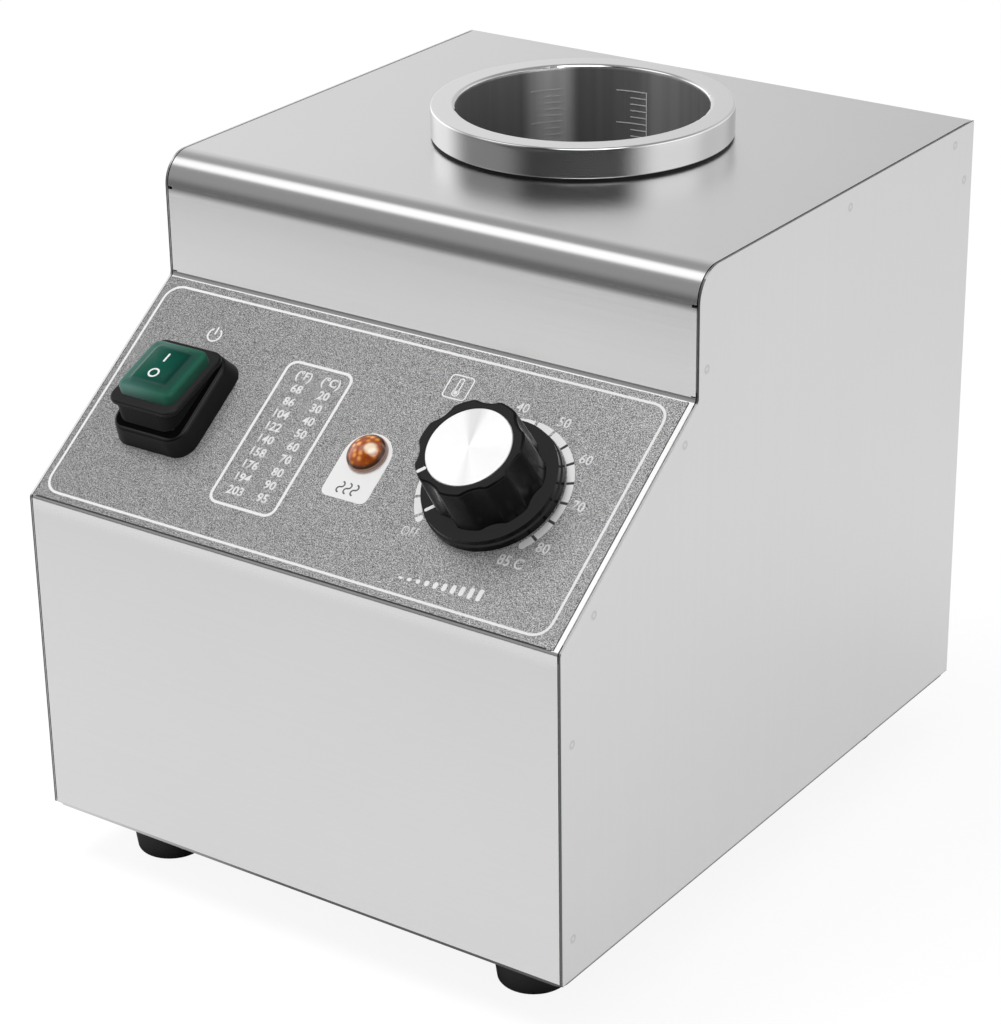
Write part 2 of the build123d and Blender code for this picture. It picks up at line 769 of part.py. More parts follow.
with BuildPart() as switch_terminals:
    with BuildSketch(control.offset(-switch_depth)):
        with Locations((switch_u, switch_v)):
            with GridLocations(switch_body_width / 2, switch_body_length / 2, 2, 2):
                Rectangle(tab_width, tab_thickness)
    extrude(amount=-tab_length)
switch_terminals.part.label = "switch_terminals"
export_step(switch_terminals.part, "parts/switch_terminals.step")

# Rocker, resting with its upper end pressed in: frame with stem and trunnions, and the lens on it
rest_angle = radians(slope_angle - rocker_tilt)
rocker = Plane(origin=pivot, x_dir=(1, 0, 0), z_dir=(0, -sin(rest_angle), cos(rest_angle)))
rocker_top = rocker_rise + rocker_flange
with BuildPart() as rocker_frame:
    with BuildSketch(rocker.offset(rocker_rise)):
        RectangleRounded(rocker_width, rocker_length, rocker_corner)
    extrude(amount=rocker_flange)
    fillet(rocker_frame.faces().filter_by(rocker).edges(), rocker_edge)
    with BuildSketch(rocker.offset(rocker_rise)):
        Rectangle(stem_width, stem_length)
    extrude(amount=-(rocker_rise + stem_tail))
    with BuildSketch(pivot_plane):
        Circle(trunnion_radius)
    extrude(amount=rocker_well_width / 2 + trunnion_grip - running_gap, both=True)
rocker_frame.part.label = "rocker_frame"
export_step(rocker_frame.part, "parts/rocker_frame.step")

with BuildPart() as rocker_lens:
    with BuildSketch(rocker.offset(rocker_top)):
        RectangleRounded(lens_width, lens_length, lens_corner)
    extrude(amount=lens_thickness)
    fillet(rocker_lens.faces().filter_by(rocker).sort_by(Axis(pivot, rocker.z_dir))[-1].edges(), lens_edge)
    with BuildSketch(rocker.offset(rocker_top + lens_thickness)):
        RectangleRounded(plateau_foot_width, plateau_foot_length, plateau_corner)
    with BuildSketch(rocker.offset(rocker_top + lens_thickness + plateau_height)):
        RectangleRounded(plateau_width, plateau_length, plateau_corner)
    loft()
rocker_lens.part.label = "rocker_lens"
export_step(rocker_lens.part, "parts/rocker_lens.step")

# Soft boot between the bezel and the rocker's flange, stepped like a bellows
boot_ceiling = rocker.offset(rocker_rise - boot_gap)
boot_middle = bezel_height + (rocker_rise + pivot_height - bezel_height) / 2
with BuildPart() as switch_boot:
    with BuildSketch(control.offset(bezel_height)):
        with Locations((switch_u, switch_v)):
            RectangleRounded(rocker_width - 2 * boot_step, rocker_length, rocker_corner)
    extrude(amount=boot_middle - bezel_height)
    with BuildSketch(control.offset(boot_middle)):
        with Locations((switch_u, switch_v)):
            RectangleRounded(rocker_width - 4 * boot_step, rocker_length - 2 * boot_step, rocker_corner)
    extrude(amount=rocker_rise)
    with BuildSketch(control.offset(bezel_height)):
        with Locations((switch_u, switch_v)):
            Rectangle(rocker_width - 2 * boot_wall - 2 * boot_step, rocker_length - 2 * boot_wall)
    extrude(amount=2 * rocker_rise, mode=Mode.SUBTRACT)
    split(bisect_by=boot_ceiling, keep=Keep.BOTTOM)
switch_boot.part.label = "switch_boot"
export_step(switch_boot.part, "parts/switch_boot.step")

# Pilot lamp: domed lens on the label, body through the slope and its nut behind
lamp_axis = Axis(control.from_local_coords((lamp_u, 0, 0)), control.z_dir)
lamp_seat = label_sheet + lamp_flange_height
lamp_shoulder = lamp_seat + lamp_wall_height
lamp_top = lamp_shoulder + lamp_crown_height
lamp_crown_radius = (lamp_dome_radius**2 + lamp_crown_height**2) / (2 * lamp_crown_height)
with BuildPart() as lamp_lens:
    with BuildSketch(panel_section(lamp_u)):
        with BuildLine():
            Polyline(
                (0, lamp_top),
                (0, label_sheet),
                (lamp_flange_radius, label_sheet),
                (lamp_flange_radius, lamp_seat),
                (lamp_dome_radius, lamp_seat),
                (lamp_dome_radius, lamp_shoulder),
            )
            RadiusArc((lamp_dome_radius, lamp_shoulder), (0, lamp_top), -lamp_crown_radius)
        make_face()
    revolve(axis=lamp_axis)
lamp_lens.part.label = "lamp_lens"
export_step(lamp_lens.part, "parts/lamp_lens.step")

with BuildPart() as lamp_body:
    with BuildSketch(control.offset(label_sheet)):
        with Locations((lamp_u, 0)):
            Circle(lamp_body_radius)
    extrude(amount=-(label_sheet + lamp_depth))
    with BuildSketch(control.offset(-lamp_depth)):
        with Locations((lamp_u, 0)):
            with GridLocations(lamp_pin_spacing, 1, 2, 1):
                Circle(lamp_pin_radius)
    extrude(amount=-lamp_pin_length)
lamp_body.part.label = "lamp_body"
export_step(lamp_body.part, "parts/lamp_body.step")

with BuildPart() as lamp_nut:
    with BuildSketch(control.offset(-sheet)):
        with Locations((lamp_u, 0)):
            RegularPolygon(lamp_nut_radius, 6, major_radius=False)
            Circle(lamp_body_radius + thread_gap, mode=Mode.SUBTRACT)
    extrude(amount=-lamp_nut_height)
lamp_nut.part.label = "lamp_nut"
export_step(lamp_nut.part, "parts/lamp_nut.step")

# Capillary thermostat behind the slope, with the boss that guides the shaft
with BuildPart() as thermostat_body:
    with BuildSketch(control.offset(-sheet)):
        with Locations((knob_u, 0)):
            RectangleRounded(thermostat_width, thermostat_length, thermostat_corner)
    extrude(amount=-thermostat_depth)
    with BuildSketch(control.offset(-sheet)):
        with Locations((knob_u, 0)):
            Circle(thermostat_boss_radius)
    extrude(amount=sheet)
    with BuildSketch(control):
        with Locations((knob_u, 0)):
            Circle(shaft_radius + running_gap)
    extrude(amount=-(sheet + shaft_seat), mode=Mode.SUBTRACT)
    with BuildSketch(control.offset(-sheet)):
        with Locations((knob_u, 0)):
            with GridLocations(thermostat_screw_spacing, 1, 2, 1):
                Circle(m4_radius + thread_gap)
    extrude(amount=-(thermostat_screw_bite + m4_radius), mode=Mode.SUBTRACT)
thermostat_body.part.label = "thermostat_body"
export_step(thermostat_body.part, "parts/thermostat_body.step")

with BuildPart() as thermostat_screws:
    with BuildSketch(control.offset(label_sheet)):
        with Locations((knob_u, 0)):
            with GridLocations(thermostat_screw_spacing, 1, 2, 1):
                Circle(m4_head_radius)
    extrude(amount=m4_head_height)
    with BuildSketch(control.offset(label_sheet)):
        with Locations((knob_u, 0)):
            with GridLocations(thermostat_screw_spacing, 1, 2, 1):
                Circle(m4_radius)
    extrude(amount=-(label_sheet + sheet + thermostat_screw_bite))
thermostat_screws.part.label = "thermostat_screws"
export_step(thermostat_screws.part, "parts/thermostat_screws.step")

# Shaft with a flat where the knob grips it
flange_top = knob_gap + knob_rim_height + knob_groove_height + knob_flange_height
hub_bottom = flange_top - knob_wall
shaft_top = hub_bottom + shaft_engagement
with BuildPart() as thermostat_shaft:
    with BuildSketch(control.offset(shaft_top)):
        with Locations((knob_u, 0)):
            Circle(shaft_radius)
    extrude(amount=-(shaft_top + sheet + shaft_seat - running_gap))
    with BuildSketch(control.offset(hub_bottom)):
        with Locations((knob_u, shaft_radius)):
            Rectangle(2 * shaft_radius, 2 * shaft_flat)
    extrude(amount=shaft_engagement, mode=Mode.SUBTRACT)
thermostat_shaft.part.label = "thermostat_shaft"
export_step(thermostat_shaft.part, "parts/thermostat_shaft.step")

# Knob: stepped skirt, fluted grip with a lobe under the pointer, hollow inside with a ribbed hub
lobe_angle = 90 - pointer_angle
scallop_circle = grip_radius - scallop_depth + scallop_radius
grip_hollow = grip_radius - scallop_depth - 2 * knob_wall
knob_axis = Axis(control.from_local_coords((knob_u, 0, 0)), control.z_dir)
with BuildPart() as knob_grip:
    with BuildSketch(panel_section(knob_u)):
        groove_bottom = knob_gap + knob_rim_height
        groove_top = groove_bottom + knob_groove_height
        with BuildLine():
            Polyline(
                (0, knob_gap),
                (knob_rim_radius, knob_gap),
                (knob_rim_radius, groove_bottom),
                (knob_flange_radius - knob_groove, groove_bottom),
                (knob_flange_radius - knob_groove, groove_top),
                (knob_flange_radius, groove_top),
                (knob_flange_radius, flange_top),
                (0, flange_top),
                close=True,
            )
        make_face()
    revolve(axis=knob_axis)
    with BuildSketch(control.offset(flange_top)) as lobes:
        with Locations((knob_u, 0)):
            Circle(grip_radius)
            with PolarLocations(scallop_circle, lobe_count, start_angle=lobe_angle + 180 / lobe_count):
                Circle(scallop_radius, mode=Mode.SUBTRACT)
        fillet(lobes.vertices(), lobe_rounding)
    extrude(amount=knob_reach - flange_top, taper=grip_taper)
    fillet(knob_grip.faces().filter_by(control).sort_by(knob_axis)[-1].edges(), grip_edge)
    # recess for the aluminium disc
    with BuildSketch(control.offset(knob_reach)):
        with Locations((knob_u, 0)):
            Circle(disc_radius + fit_gap)
    extrude(amount=-disc_thickness, mode=Mode.SUBTRACT)
    # hollow under the skirt, then round the hub between its ribs
    with BuildSketch(control.offset(knob_gap)):
        with Locations((knob_u, 0)):
            Circle(knob_flange_radius - knob_groove - knob_wall)
    extrude(amount=hub_bottom - knob_gap, mode=Mode.SUBTRACT)
    with BuildSketch(control.offset(hub_bottom)):
        with Locations((knob_u, 0)):
            Circle(grip_hollow)
            Circle(hub_radius, mode=Mode.SUBTRACT)
            with PolarLocations(grip_hollow / 2, rib_count):
                Rectangle(grip_hollow, rib_thickness, mode=Mode.SUBTRACT)
    extrude(amount=knob_reach - disc_thickness - knob_wall - hub_bottom, mode=Mode.SUBTRACT)
    # bore with the shaft's flat
    with BuildSketch(control.offset(hub_bottom)):
        with Locations((knob_u, 0)):
            Circle(shaft_radius + running_gap)
        with Locations((knob_u, shaft_radius + running_gap)):
            Rectangle(3 * shaft_radius, 2 * shaft_flat, mode=Mode.SUBTRACT)
    extrude(amount=shaft_engagement + running_gap, mode=Mode.SUBTRACT)
knob_grip.part.label = "knob_grip"
export_step(knob_grip.part, "parts/knob_grip.step")

with BuildPart() as knob_disc:
    with BuildSketch(control.offset(knob_reach - disc_thickness)):
        with Locations((knob_u, 0)):
            Circle(disc_radius)
    extrude(amount=disc_thickness)
    chamfer(knob_disc.faces().sort_by(knob_axis)[-1].edges(), disc_edge)
knob_disc.part.label = "knob_disc"
export_step(knob_disc.part, "parts/knob_disc.step")

# Ceramic terminal block on the base plate, bolted through its middle
with BuildPart() as terminal_block:
    with BuildSketch(Plane.XY.offset(base_z)):
        with Locations(block_place):
            RectangleRounded(block_width, block_depth, block_corner)
    extrude(amount=block_height)
    with BuildSketch(Plane.XY.offset(base_z)):
        with Locations(block_place):
            Circle(m4_radius + hole_clearance)
    extrude(amount=block_height, mode=Mode.SUBTRACT)
    with BuildSketch(Plane.XZ.offset(-block_place[1])):
        with Locations((block_x, base_z + block_height / 2)):
            with GridLocations(pole_spacing, 1, 2, 1):
                Circle(wire_hole_radius)
    extrude(amount=block_depth, both=True, mode=Mode.SUBTRACT)
    with BuildSketch(Plane.XY.offset(base_z + block_height)):
        with Locations(block_place):
            with GridLocations(pole_spacing, clamp_row_spacing, 2, 2):
                Circle(clamp_screw_radius + thread_gap)
    extrude(amount=-clamp_screw_height, mode=Mode.SUBTRACT)
terminal_block.part.label = "terminal_block"
export_step(terminal_block.part, "parts/terminal_block.step")

with BuildPart() as terminal_screws:
    with BuildSketch(Plane.XY.offset(base_z + block_height)):
        with Locations(block_place):
            with GridLocations(pole_spacing, clamp_row_spacing, 2, 2):
                Circle(clamp_screw_radius)
    extrude(amount=-clamp_screw_height)
terminal_screws.part.label = "terminal_screws"
export_step(terminal_screws.part, "parts/terminal_screws.step")

with BuildPart() as terminal_block_bolt:
    with BuildSketch(Plane.XY.offset(base_z + block_height)):
        with Locations(block_place):
            Circle(m4_head_radius)
    extrude(amount=m4_head_height)
    with BuildSketch(Plane.XY.offset(base_z + block_height)):
        with Locations(block_place):
            Circle(m4_radius)
    extrude(amount=-(block_height + base_sheet))
terminal_block_bolt.part.label = "terminal_block_bolt"
export_step(terminal_block_bolt.part, "parts/terminal_block_bolt.step")

# Earth stud through the base plate, with its two nuts
with BuildPart() as earth_stud:
    with BuildSketch(Plane.XY.offset(base_z - base_sheet)):
        with Locations(earth_place):
            Circle(m5_radius)
    extrude(amount=earth_stud_length)
earth_stud.part.label = "earth_stud"
export_step(earth_stud.part, "parts/earth_stud.step")

with BuildPart() as earth_nuts:
    for nut_z in (base_z, base_z + m5_nut_height):
        with BuildSketch(Plane.XY.offset(nut_z)):
            with Locations(earth_place):
                hex_nut(m5_nut_flats, m5_radius)
        extrude(amount=m5_nut_height - thread_gap)
earth_nuts.part.label = "earth_nuts"
export_step(earth_nuts.part, "parts/earth_nuts.step")

# Cable gland: hexagon body through the rear panel, lock nut inside, seal and dome nut outside
gland_axis = Axis((gland_x, rear_y, gland_z), (0, 1, 0))
gland_out = Plane(origin=(gland_x, rear_y, gland_z), x_dir=(-1, 0, 0), z_dir=(0, 1, 0))
with BuildPart() as gland_body:
    with BuildSketch(gland_out):
        RegularPolygon(gland_flats / 2, 6, major_radius=False)
    extrude(amount=gland_flange_height)
    with BuildSketch(gland_out):
        Circle(gland_thread_radius)
    extrude(amount=-(sheet + gland_thread_length))
    with BuildSketch(gland_out.offset(gland_flange_height)):
        Circle(gland_bore_radius)
    extrude(amount=-(gland_flange_height + sheet + gland_thread_length), mode=Mode.SUBTRACT)
gland_body.part.label = "gland_body"
export_step(gland_body.part, "parts/gland_body.step")

with BuildPart() as gland_lock_nut:
    with BuildSketch(gland_out.offset(-sheet)):
        RegularPolygon(gland_nut_flats / 2, 6, major_radius=False)
        Circle(gland_thread_radius + thread_gap, mode=Mode.SUBTRACT)
    extrude(amount=-gland_nut_height)
gland_lock_nut.part.label = "gland_lock_nut"
export_step(gland_lock_nut.part, "parts/gland_lock_nut.step")

gland_section = Plane(origin=(gland_x, rear_y, gland_z), x_dir=(1, 0, 0), z_dir=(0, 0, 1))
with BuildPart() as gland_dome_nut:
    with BuildSketch(gland_section) as dome_section:
        with BuildLine():
            Polyline(
                (gland_bore_radius, gland_reach),
                (gland_bore_radius, gland_flange_height),
                (gland_cap_radius, gland_flange_height),
                (gland_cap_radius, gland_flange_height + gland_cap_shoulder),
                (gland_mouth_radius, gland_reach),
                close=True,
            )
        make_face()
        fillet(corner_at(dome_section, (gland_mouth_radius, gland_reach)), gland_mouth_edge)
        fillet(
            corner_at(dome_section, (gland_cap_radius, gland_flange_height + gland_cap_shoulder)),
            gland_cap_shoulder / 2,
        )
    revolve(axis=gland_axis)
gland_dome_nut.part.label = "gland_dome_nut"
export_step(gland_dome_nut.part, "parts/gland_dome_nut.step")

with BuildPart() as gland_seal:
    with BuildSketch(gland_out.offset(gland_reach)):
        Circle(gland_bore_radius - thread_gap)
        Circle(cable_radius, mode=Mode.SUBTRACT)
    extrude(amount=-gland_seal_length)
gland_seal.part.label = "gland_seal"
export_step(gland_seal.part, "parts/gland_seal.step")
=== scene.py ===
# %% [markdown]
# A counter-top sauce warmer: a folded stainless cabinet with a heated well, a sloping control
# panel, a rocker switch, a pilot lamp and a dial knob. The solid pieces come ready made from the
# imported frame, at their real size and place. This lesson gives every surface its finish, and models
# what is printed, moulded or too soft for the solids: the label's marks, the switch's bellows, the
# rounded skins of cap and lamp, the etched scale in the well and the collar's fine lip.

# %% Load the frame
import json
import math

import bmesh
import bpy
from mathutils import Matrix, Quaternion, Vector


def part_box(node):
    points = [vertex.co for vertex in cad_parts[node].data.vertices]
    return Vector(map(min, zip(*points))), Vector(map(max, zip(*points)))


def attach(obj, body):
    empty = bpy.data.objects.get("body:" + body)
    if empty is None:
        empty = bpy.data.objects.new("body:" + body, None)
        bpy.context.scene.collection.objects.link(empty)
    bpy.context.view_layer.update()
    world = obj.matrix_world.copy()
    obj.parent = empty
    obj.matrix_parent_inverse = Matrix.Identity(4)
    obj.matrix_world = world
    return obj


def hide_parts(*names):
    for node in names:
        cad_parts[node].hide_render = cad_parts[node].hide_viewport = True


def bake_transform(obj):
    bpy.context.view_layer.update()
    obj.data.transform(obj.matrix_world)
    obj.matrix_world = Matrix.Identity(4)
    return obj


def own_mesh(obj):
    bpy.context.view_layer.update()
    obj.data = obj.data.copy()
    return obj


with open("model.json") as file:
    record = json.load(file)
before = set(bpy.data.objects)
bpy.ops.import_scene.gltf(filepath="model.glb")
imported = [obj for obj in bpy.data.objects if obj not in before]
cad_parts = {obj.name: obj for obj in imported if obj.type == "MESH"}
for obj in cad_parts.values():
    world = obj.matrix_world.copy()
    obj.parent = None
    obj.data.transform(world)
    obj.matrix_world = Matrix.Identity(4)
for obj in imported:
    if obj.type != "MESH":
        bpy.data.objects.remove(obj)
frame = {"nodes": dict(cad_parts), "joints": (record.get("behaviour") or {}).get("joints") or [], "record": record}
nodes = frame["nodes"]
joints = {joint["name"]: joint for joint in frame["joints"]}
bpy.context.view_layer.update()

# %% [markdown]
# Everything on the slope is easier to place in the slope's own directions. The knob's hinge gives
# them: its axis points into the panel, so the way out is the other way. One matrix then turns
# millimetres on the panel (across, up the slope, out of it) into metres in the room. A second one
# does the same for the rocker, which rests tilted with its upper end pressed in.

# %% Directions of the panel and of the rocker
MM = 0.001
RIGHT = Vector((1, 0, 0))


def local_frame(origin, out):
    """Matrix from millimetres across, up and out of a face to metres in the room."""
    up = out.cross(RIGHT)
    turned = Matrix((RIGHT, up, out)).transposed().to_4x4()
    return Matrix.Translation(origin) @ turned @ Matrix.Scale(MM, 4)


panel_out = -Vector(joints["knob_turn"]["axis"]).normalized()
knob_place = Vector(joints["knob_turn"]["pos_m"])
panel = local_frame(Vector((0, knob_place.y, knob_place.z)), panel_out)
rocker_pivot = Vector(joints["rocker_tilt"]["pos_m"])
rocker_tilt = math.radians(joints["rocker_tilt"]["range_deg"][1] / 2)
rocker = local_frame(rocker_pivot, Matrix.Rotation(-rocker_tilt, 3, "X") @ panel_out)


def measured(node, place):
    """Lowest and highest corner of a solid in a local frame, in millimetres."""
    back = place.inverted()
    points = [back @ vertex.co for vertex in nodes[node].data.vertices]
    return Vector(map(min, *points)), Vector(map(max, *points))


label_low, label_high = measured("control_label", panel)
print("label across and up the slope", label_low, label_high)

# %% [markdown]
# A finish is a small tree of shader nodes. A few helpers keep the trees short: they add a node and
# fill its sockets with values or with other nodes' outputs, and reckon with numbers and vectors. A
# helper that is given an output finds the tree from it.

# %% Helpers for shader nodes
def fill(socket, value):
    """Set a socket to a value, or link another node's output to it."""
    if isinstance(value, bpy.types.NodeSocket):
        socket.id_data.links.new(value, socket)
    else:
        socket.default_value = value


def feed(node, **sockets):
    """Fill a node's sockets by their names."""
    for key, value in sockets.items():
        fill(node.inputs[key.replace("_", " ")], value)


def add(tree, kind, settings=None, **sockets):
    """Add a shader node of a kind, with its settings and its sockets."""
    made = tree.nodes.new("ShaderNode" + kind)
    for key, value in (settings or {}).items():
        setattr(made, key, value)
    feed(made, **sockets)
    return made


def calc(operation, *values, kind="Math", output=0):
    """Reckon with the values in order, in the tree of the outputs among them."""
    tree = next(value.id_data for value in values if isinstance(value, bpy.types.NodeSocket))
    made = add(tree, kind, {"operation": operation})
    for socket, value in zip(made.inputs, values):
        fill(socket, value)
    return made.outputs[output]


def vector_calc(operation, *values):
    """Reckon with vectors; a product, a distance or a length comes out as a number."""
    output = "Value" if operation in ("DOT_PRODUCT", "DISTANCE", "LENGTH") else "Vector"
    return calc(operation, *values, kind="VectorMath", output=output)


def coordinates(tree, kind="Object"):
    """Coordinates fixed to the piece, in metres, or another kind."""
    return add(tree, "TexCoord").outputs[kind]


def axes(vector):
    """The three numbers of a vector."""
    return add(vector.id_data, "SeparateXYZ", Vector=vector).outputs


# %% [markdown]
# The next helpers speak of colour and relief: a ramp, a smooth step, a blend, a noise, a bump, and
# the start of a material.

# %% Helpers for colour and relief
def opaque(colour):
    """Grey level or colour with its alpha; an output stays as it is."""
    if isinstance(colour, float):
        return (colour, colour, colour, 1)
    return (*colour, 1) if isinstance(colour, tuple) else colour


def ramp(factor, *stops):
    """Add a colour ramp through (position, grey or colour) stops and return its colour."""
    made = add(factor.id_data, "ValToRGB", Fac=factor)
    elements = made.color_ramp.elements
    while len(elements) < len(stops):
        elements.new(1.0)
    for element, (position, colour) in zip(elements, stops):
        element.position = position
        element.color = opaque(colour)
    return made.outputs["Color"]


def smooth_range(value, start, end, first=0.0, last=1.0):
    """Smooth step between two levels, from a start to an end of the value."""
    return add(
        value.id_data, "MapRange", {"interpolation_type": "SMOOTHSTEP"},
        Value=value, From_Min=start, From_Max=end, To_Min=first, To_Max=last,
    ).outputs[0]


def mixed(factor, first, second):
    """Blend of two greys, colours or outputs."""
    made = add(factor.id_data, "Mix", {"data_type": "RGBA"}, Factor=factor)
    fill(made.inputs[6], opaque(first))
    fill(made.inputs[7], opaque(second))
    return made.outputs[2]


def scaled(colour, factor):
    """Colour times a number that changes over the surface."""
    settings = {"operation": "SCALE"}
    return add(factor.id_data, "VectorMath", settings, Vector=colour, Scale=factor).outputs[0]


def noise(place, scale, detail, **more):
    """Cloudy noise about a half."""
    made = add(place.id_data, "TexNoise", Vector=place, Scale=scale, Detail=detail, **more)
    return made.outputs["Fac"]


def relief(shader, height, strength, distance=0.0001):
    """Bump a shader's surface by a height."""
    bump = add(shader.id_data, "Bump", Strength=strength, Distance=distance, Height=height)
    feed(shader, Normal=bump.outputs["Normal"])


def new_finish(name, colour, roughness, **more):
    """Make a material and return it with its tree and principled shader."""
    material = bpy.data.materials.new(name)
    material.use_nodes = True
    shader = material.node_tree.nodes["Principled BSDF"]
    feed(shader, Base_Color=opaque(colour), Roughness=roughness, **more)
    return material, material.node_tree, shader


# %% [markdown]
# Most surfaces here are one of two kinds: sheet metal with a faint grain that runs one way, or a
# moulding with a fine even texture. Each is one node group, so that every material can use it with
# its own values. The grain group stretches a noise along one direction; the texture group uses it
# evenly. Both give a tone around one, a roughness to add and a height for the bump.

# %% Node groups for sheet grain and moulded texture
def surface_group(name, **inputs):
    """Start a node group with tone, roughness and height outputs; return it with its inputs."""
    group = bpy.data.node_groups.new(name, "ShaderNodeTree")
    for key, value in {"Place": (0.0, 0.0, 0.0), **inputs}.items():
        kind = "NodeSocketVector" if isinstance(value, tuple) else "NodeSocketFloat"
        group.interface.new_socket(key, in_out="INPUT", socket_type=kind).default_value = value
    for key in ("Tone", "Roughness", "Height"):
        group.interface.new_socket(key, in_out="OUTPUT", socket_type="NodeSocketFloat")
    return group, group.nodes.new("NodeGroupInput").outputs


def close_group(group, source, level, spread, height):
    """Wire a group's three outputs: tone about one, roughness about its middle, height."""
    centred = calc("SUBTRACT", spread, 0.5)
    feed(
        group.nodes.new("NodeGroupOutput"), Height=height,
        Tone=calc("MULTIPLY_ADD", level, source["Contrast"], 1.0),
        Roughness=calc("MULTIPLY_ADD", centred, source["Swing"], source["Roughness"]),
    )
    return group


def make_sheet_grain():
    """Long fine streaks over slow clouds, as on rolled and brushed sheet."""
    group, source = surface_group(
        "sheet_grain", Stretch=(1.0, 1.0, 1.0), Roughness=0.2, Swing=0.1, Contrast=0.05
    )
    stretched = vector_calc("MULTIPLY", source["Place"], source["Stretch"])
    streaks = noise(stretched, 1.0, 4.0)
    clouds = noise(source["Place"], 14.0, 2.0)
    level = calc("SUBTRACT", calc("ADD", streaks, clouds), 1.0)
    return close_group(group, source, level, streaks, streaks)


def make_moulded_texture():
    """Even fine texture with slow variation, as on plastic, rubber and fired clay."""
    group, source = surface_group(
        "moulded_texture", Scale=2000.0, Roughness=0.4, Swing=0.1, Contrast=0.2
    )
    fine = noise(source["Place"], source["Scale"], 2.0)
    slow = noise(source["Place"], 60.0, 3.0)
    return close_group(group, source, calc("SUBTRACT", slow, 0.5), slow, fine)


SHEET_GRAIN = make_sheet_grain()
MOULDED_TEXTURE = make_moulded_texture()


def wear_group(shader, group, colour, bump, **values):
    """Place a surface group in a material, feed the shader from it and return its outputs."""
    tree = shader.id_data
    worn = add(tree, "Group", {"node_tree": group}, Place=coordinates(tree), **values).outputs
    feed(shader, Base_Color=scaled(colour, worn["Tone"]), Roughness=worn["Roughness"])
    relief(shader, worn["Height"], bump)
    return worn


print("node groups", [group.name for group in bpy.data.node_groups])

# %% [markdown]
# The cabinet is stainless sheet with a smooth satin face, so it mirrors its surroundings softly. The
# grain runs across the machine. The fasteners are the same idea with a duller, bluer tone. Every
# solid names a material slot in the record, so the finishes are filed under those names.

# %% Sheet metal finishes
def grained_metal(name, colour, roughness, stretch, contrast=0.04, swing=0.05):
    """Rolled metal with its grain along the axis whose stretch is smallest; returns the grain too."""
    material, tree, shader = new_finish(name, colour, roughness, Metallic=1.0)
    grain = wear_group(
        shader, SHEET_GRAIN, colour, GRAIN_BUMP,
        Stretch=stretch, Roughness=roughness, Swing=swing, Contrast=contrast,
    )
    return material, tree, shader, grain


GRAIN_BUMP = 0.05
STEEL = (0.66, 0.66, 0.66)
GRAIN_ACROSS = (12, 900, 900)
GRAIN_UPRIGHT = (900, 900, 12)
EVEN = (300, 300, 300)
finishes = {
    "zinc_plated": grained_metal("zinc_plate", (0.52, 0.54, 0.57), 0.35, EVEN, 0.3, 0.2)[0],
    "heater_sheath": grained_metal("heater_sheath", (0.5, 0.48, 0.44), 0.4, (40, 40, 600), 0.25)[0],
    "copper_brass": grained_metal("copper_alloy", (0.72, 0.42, 0.22), 0.3, EVEN, 0.25)[0],
}

# %% [markdown]
# The folded shell is duller on its front than from the fold upwards, where the press and many hands
# have smoothed it, and dull again on its flat top. Height over the floor tells the front apart and
# the surface's direction the top, so two smooth steps to roughness do it. Along its lower edge, over
# the base plate's gap, runs a painted shade line that fades towards the left, and under the foot of
# the round edge the riser gets a soft painted shade.

# %% Folded shell
label_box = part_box("control_label")
shell_low, shell_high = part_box("front_top_shell")
SATIN = 0.34
UPPER_POLISH = -0.13
TOP_DULL = 0.05
SHELL_LINE = 0.0004
LINE_SHADES = (-0.85, -0.1)
ROUND_EDGE = 0.01
FOOT_REACH = 0.0028
FOOT_SHADE = -0.72
round_foot = shell_high.z - ROUND_EDGE


def shell_finish():
    """Satin shell, smoother from the front fold upwards, duller on top, with painted shade lines."""
    material, tree, shader, grain = grained_metal("cabinet_steel", STEEL, SATIN, GRAIN_ACROSS)
    across, _, height = axes(coordinates(tree))
    # Painted shade along the lower edge, over the gap to the base plate, fading towards the left.
    lower = calc("LESS_THAN", height, shell_low.z + SHELL_LINE)
    fading = smooth_range(across, 0.0, shell_low.x, *LINE_SHADES)
    shade = calc("MULTIPLY_ADD", lower, fading, grain["Tone"])
    # Painted shade on the riser under the foot of the round edge.
    under = calc("LESS_THAN", height, round_foot)
    ending = smooth_range(height, round_foot, round_foot - FOOT_REACH, FOOT_SHADE, 0.0)
    shade = calc("MULTIPLY_ADD", under, ending, shade)
    fold = label_box[0].z
    smoother = smooth_range(height, fold - 0.006, fold - 0.001, 0.0, UPPER_POLISH)
    facing_up = axes(coordinates(tree, "Normal"))["Z"]
    duller = smooth_range(facing_up, 0.97, 0.998, 0.0, TOP_DULL)
    rough = calc("ADD", grain["Roughness"], calc("ADD", smoother, duller))
    feed(shader, Base_Color=scaled(STEEL, shade), Roughness=rough)
    return material


finishes["brushed_stainless"] = shell_finish()

# %% [markdown]
# Spot welds hold the side panels to the frame behind them and show as faint rings. They lie flush, so
# they are part of the finish: the distance to the nearest weld, seen from the side, makes a mask that
# darkens the sheet a little, dulls it and dents it. One list serves both sides. The sheet's cut edges
# are raw and dull, with painted shade towards the outer face; the surface's direction tells them
# apart. The painted shade is lighter along the slope, and on the left side also on top, where the
# edges face the light. Painted shade also runs along the lower edge, over the base plate's gap.

# %% Side panels with spot welds
side_low, side_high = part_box("right_side_panel")
far_side_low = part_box("left_side_panel")[0]
WELD_RADIUS = 0.001
SIDE_SHEET = 0.0007
SIDE_LINE = 0.0003
SIDE_ROUGH = 0.3
WELD_SHADE = -0.16
EDGE_SHADE = -0.76
LINE_SHADE = -0.5
DARKEST = 0.1
spot_welds = (
    # back from the front edge and up from the lower edge, in millimetres
    (227.3, 194.3), (159.0, 193.5), (234.8, 180.7), (76.3, 168.5),
    (64.7, 148.9), (17.0, 114.2), (5.6, 78.0), (5.6, 13.7),
)


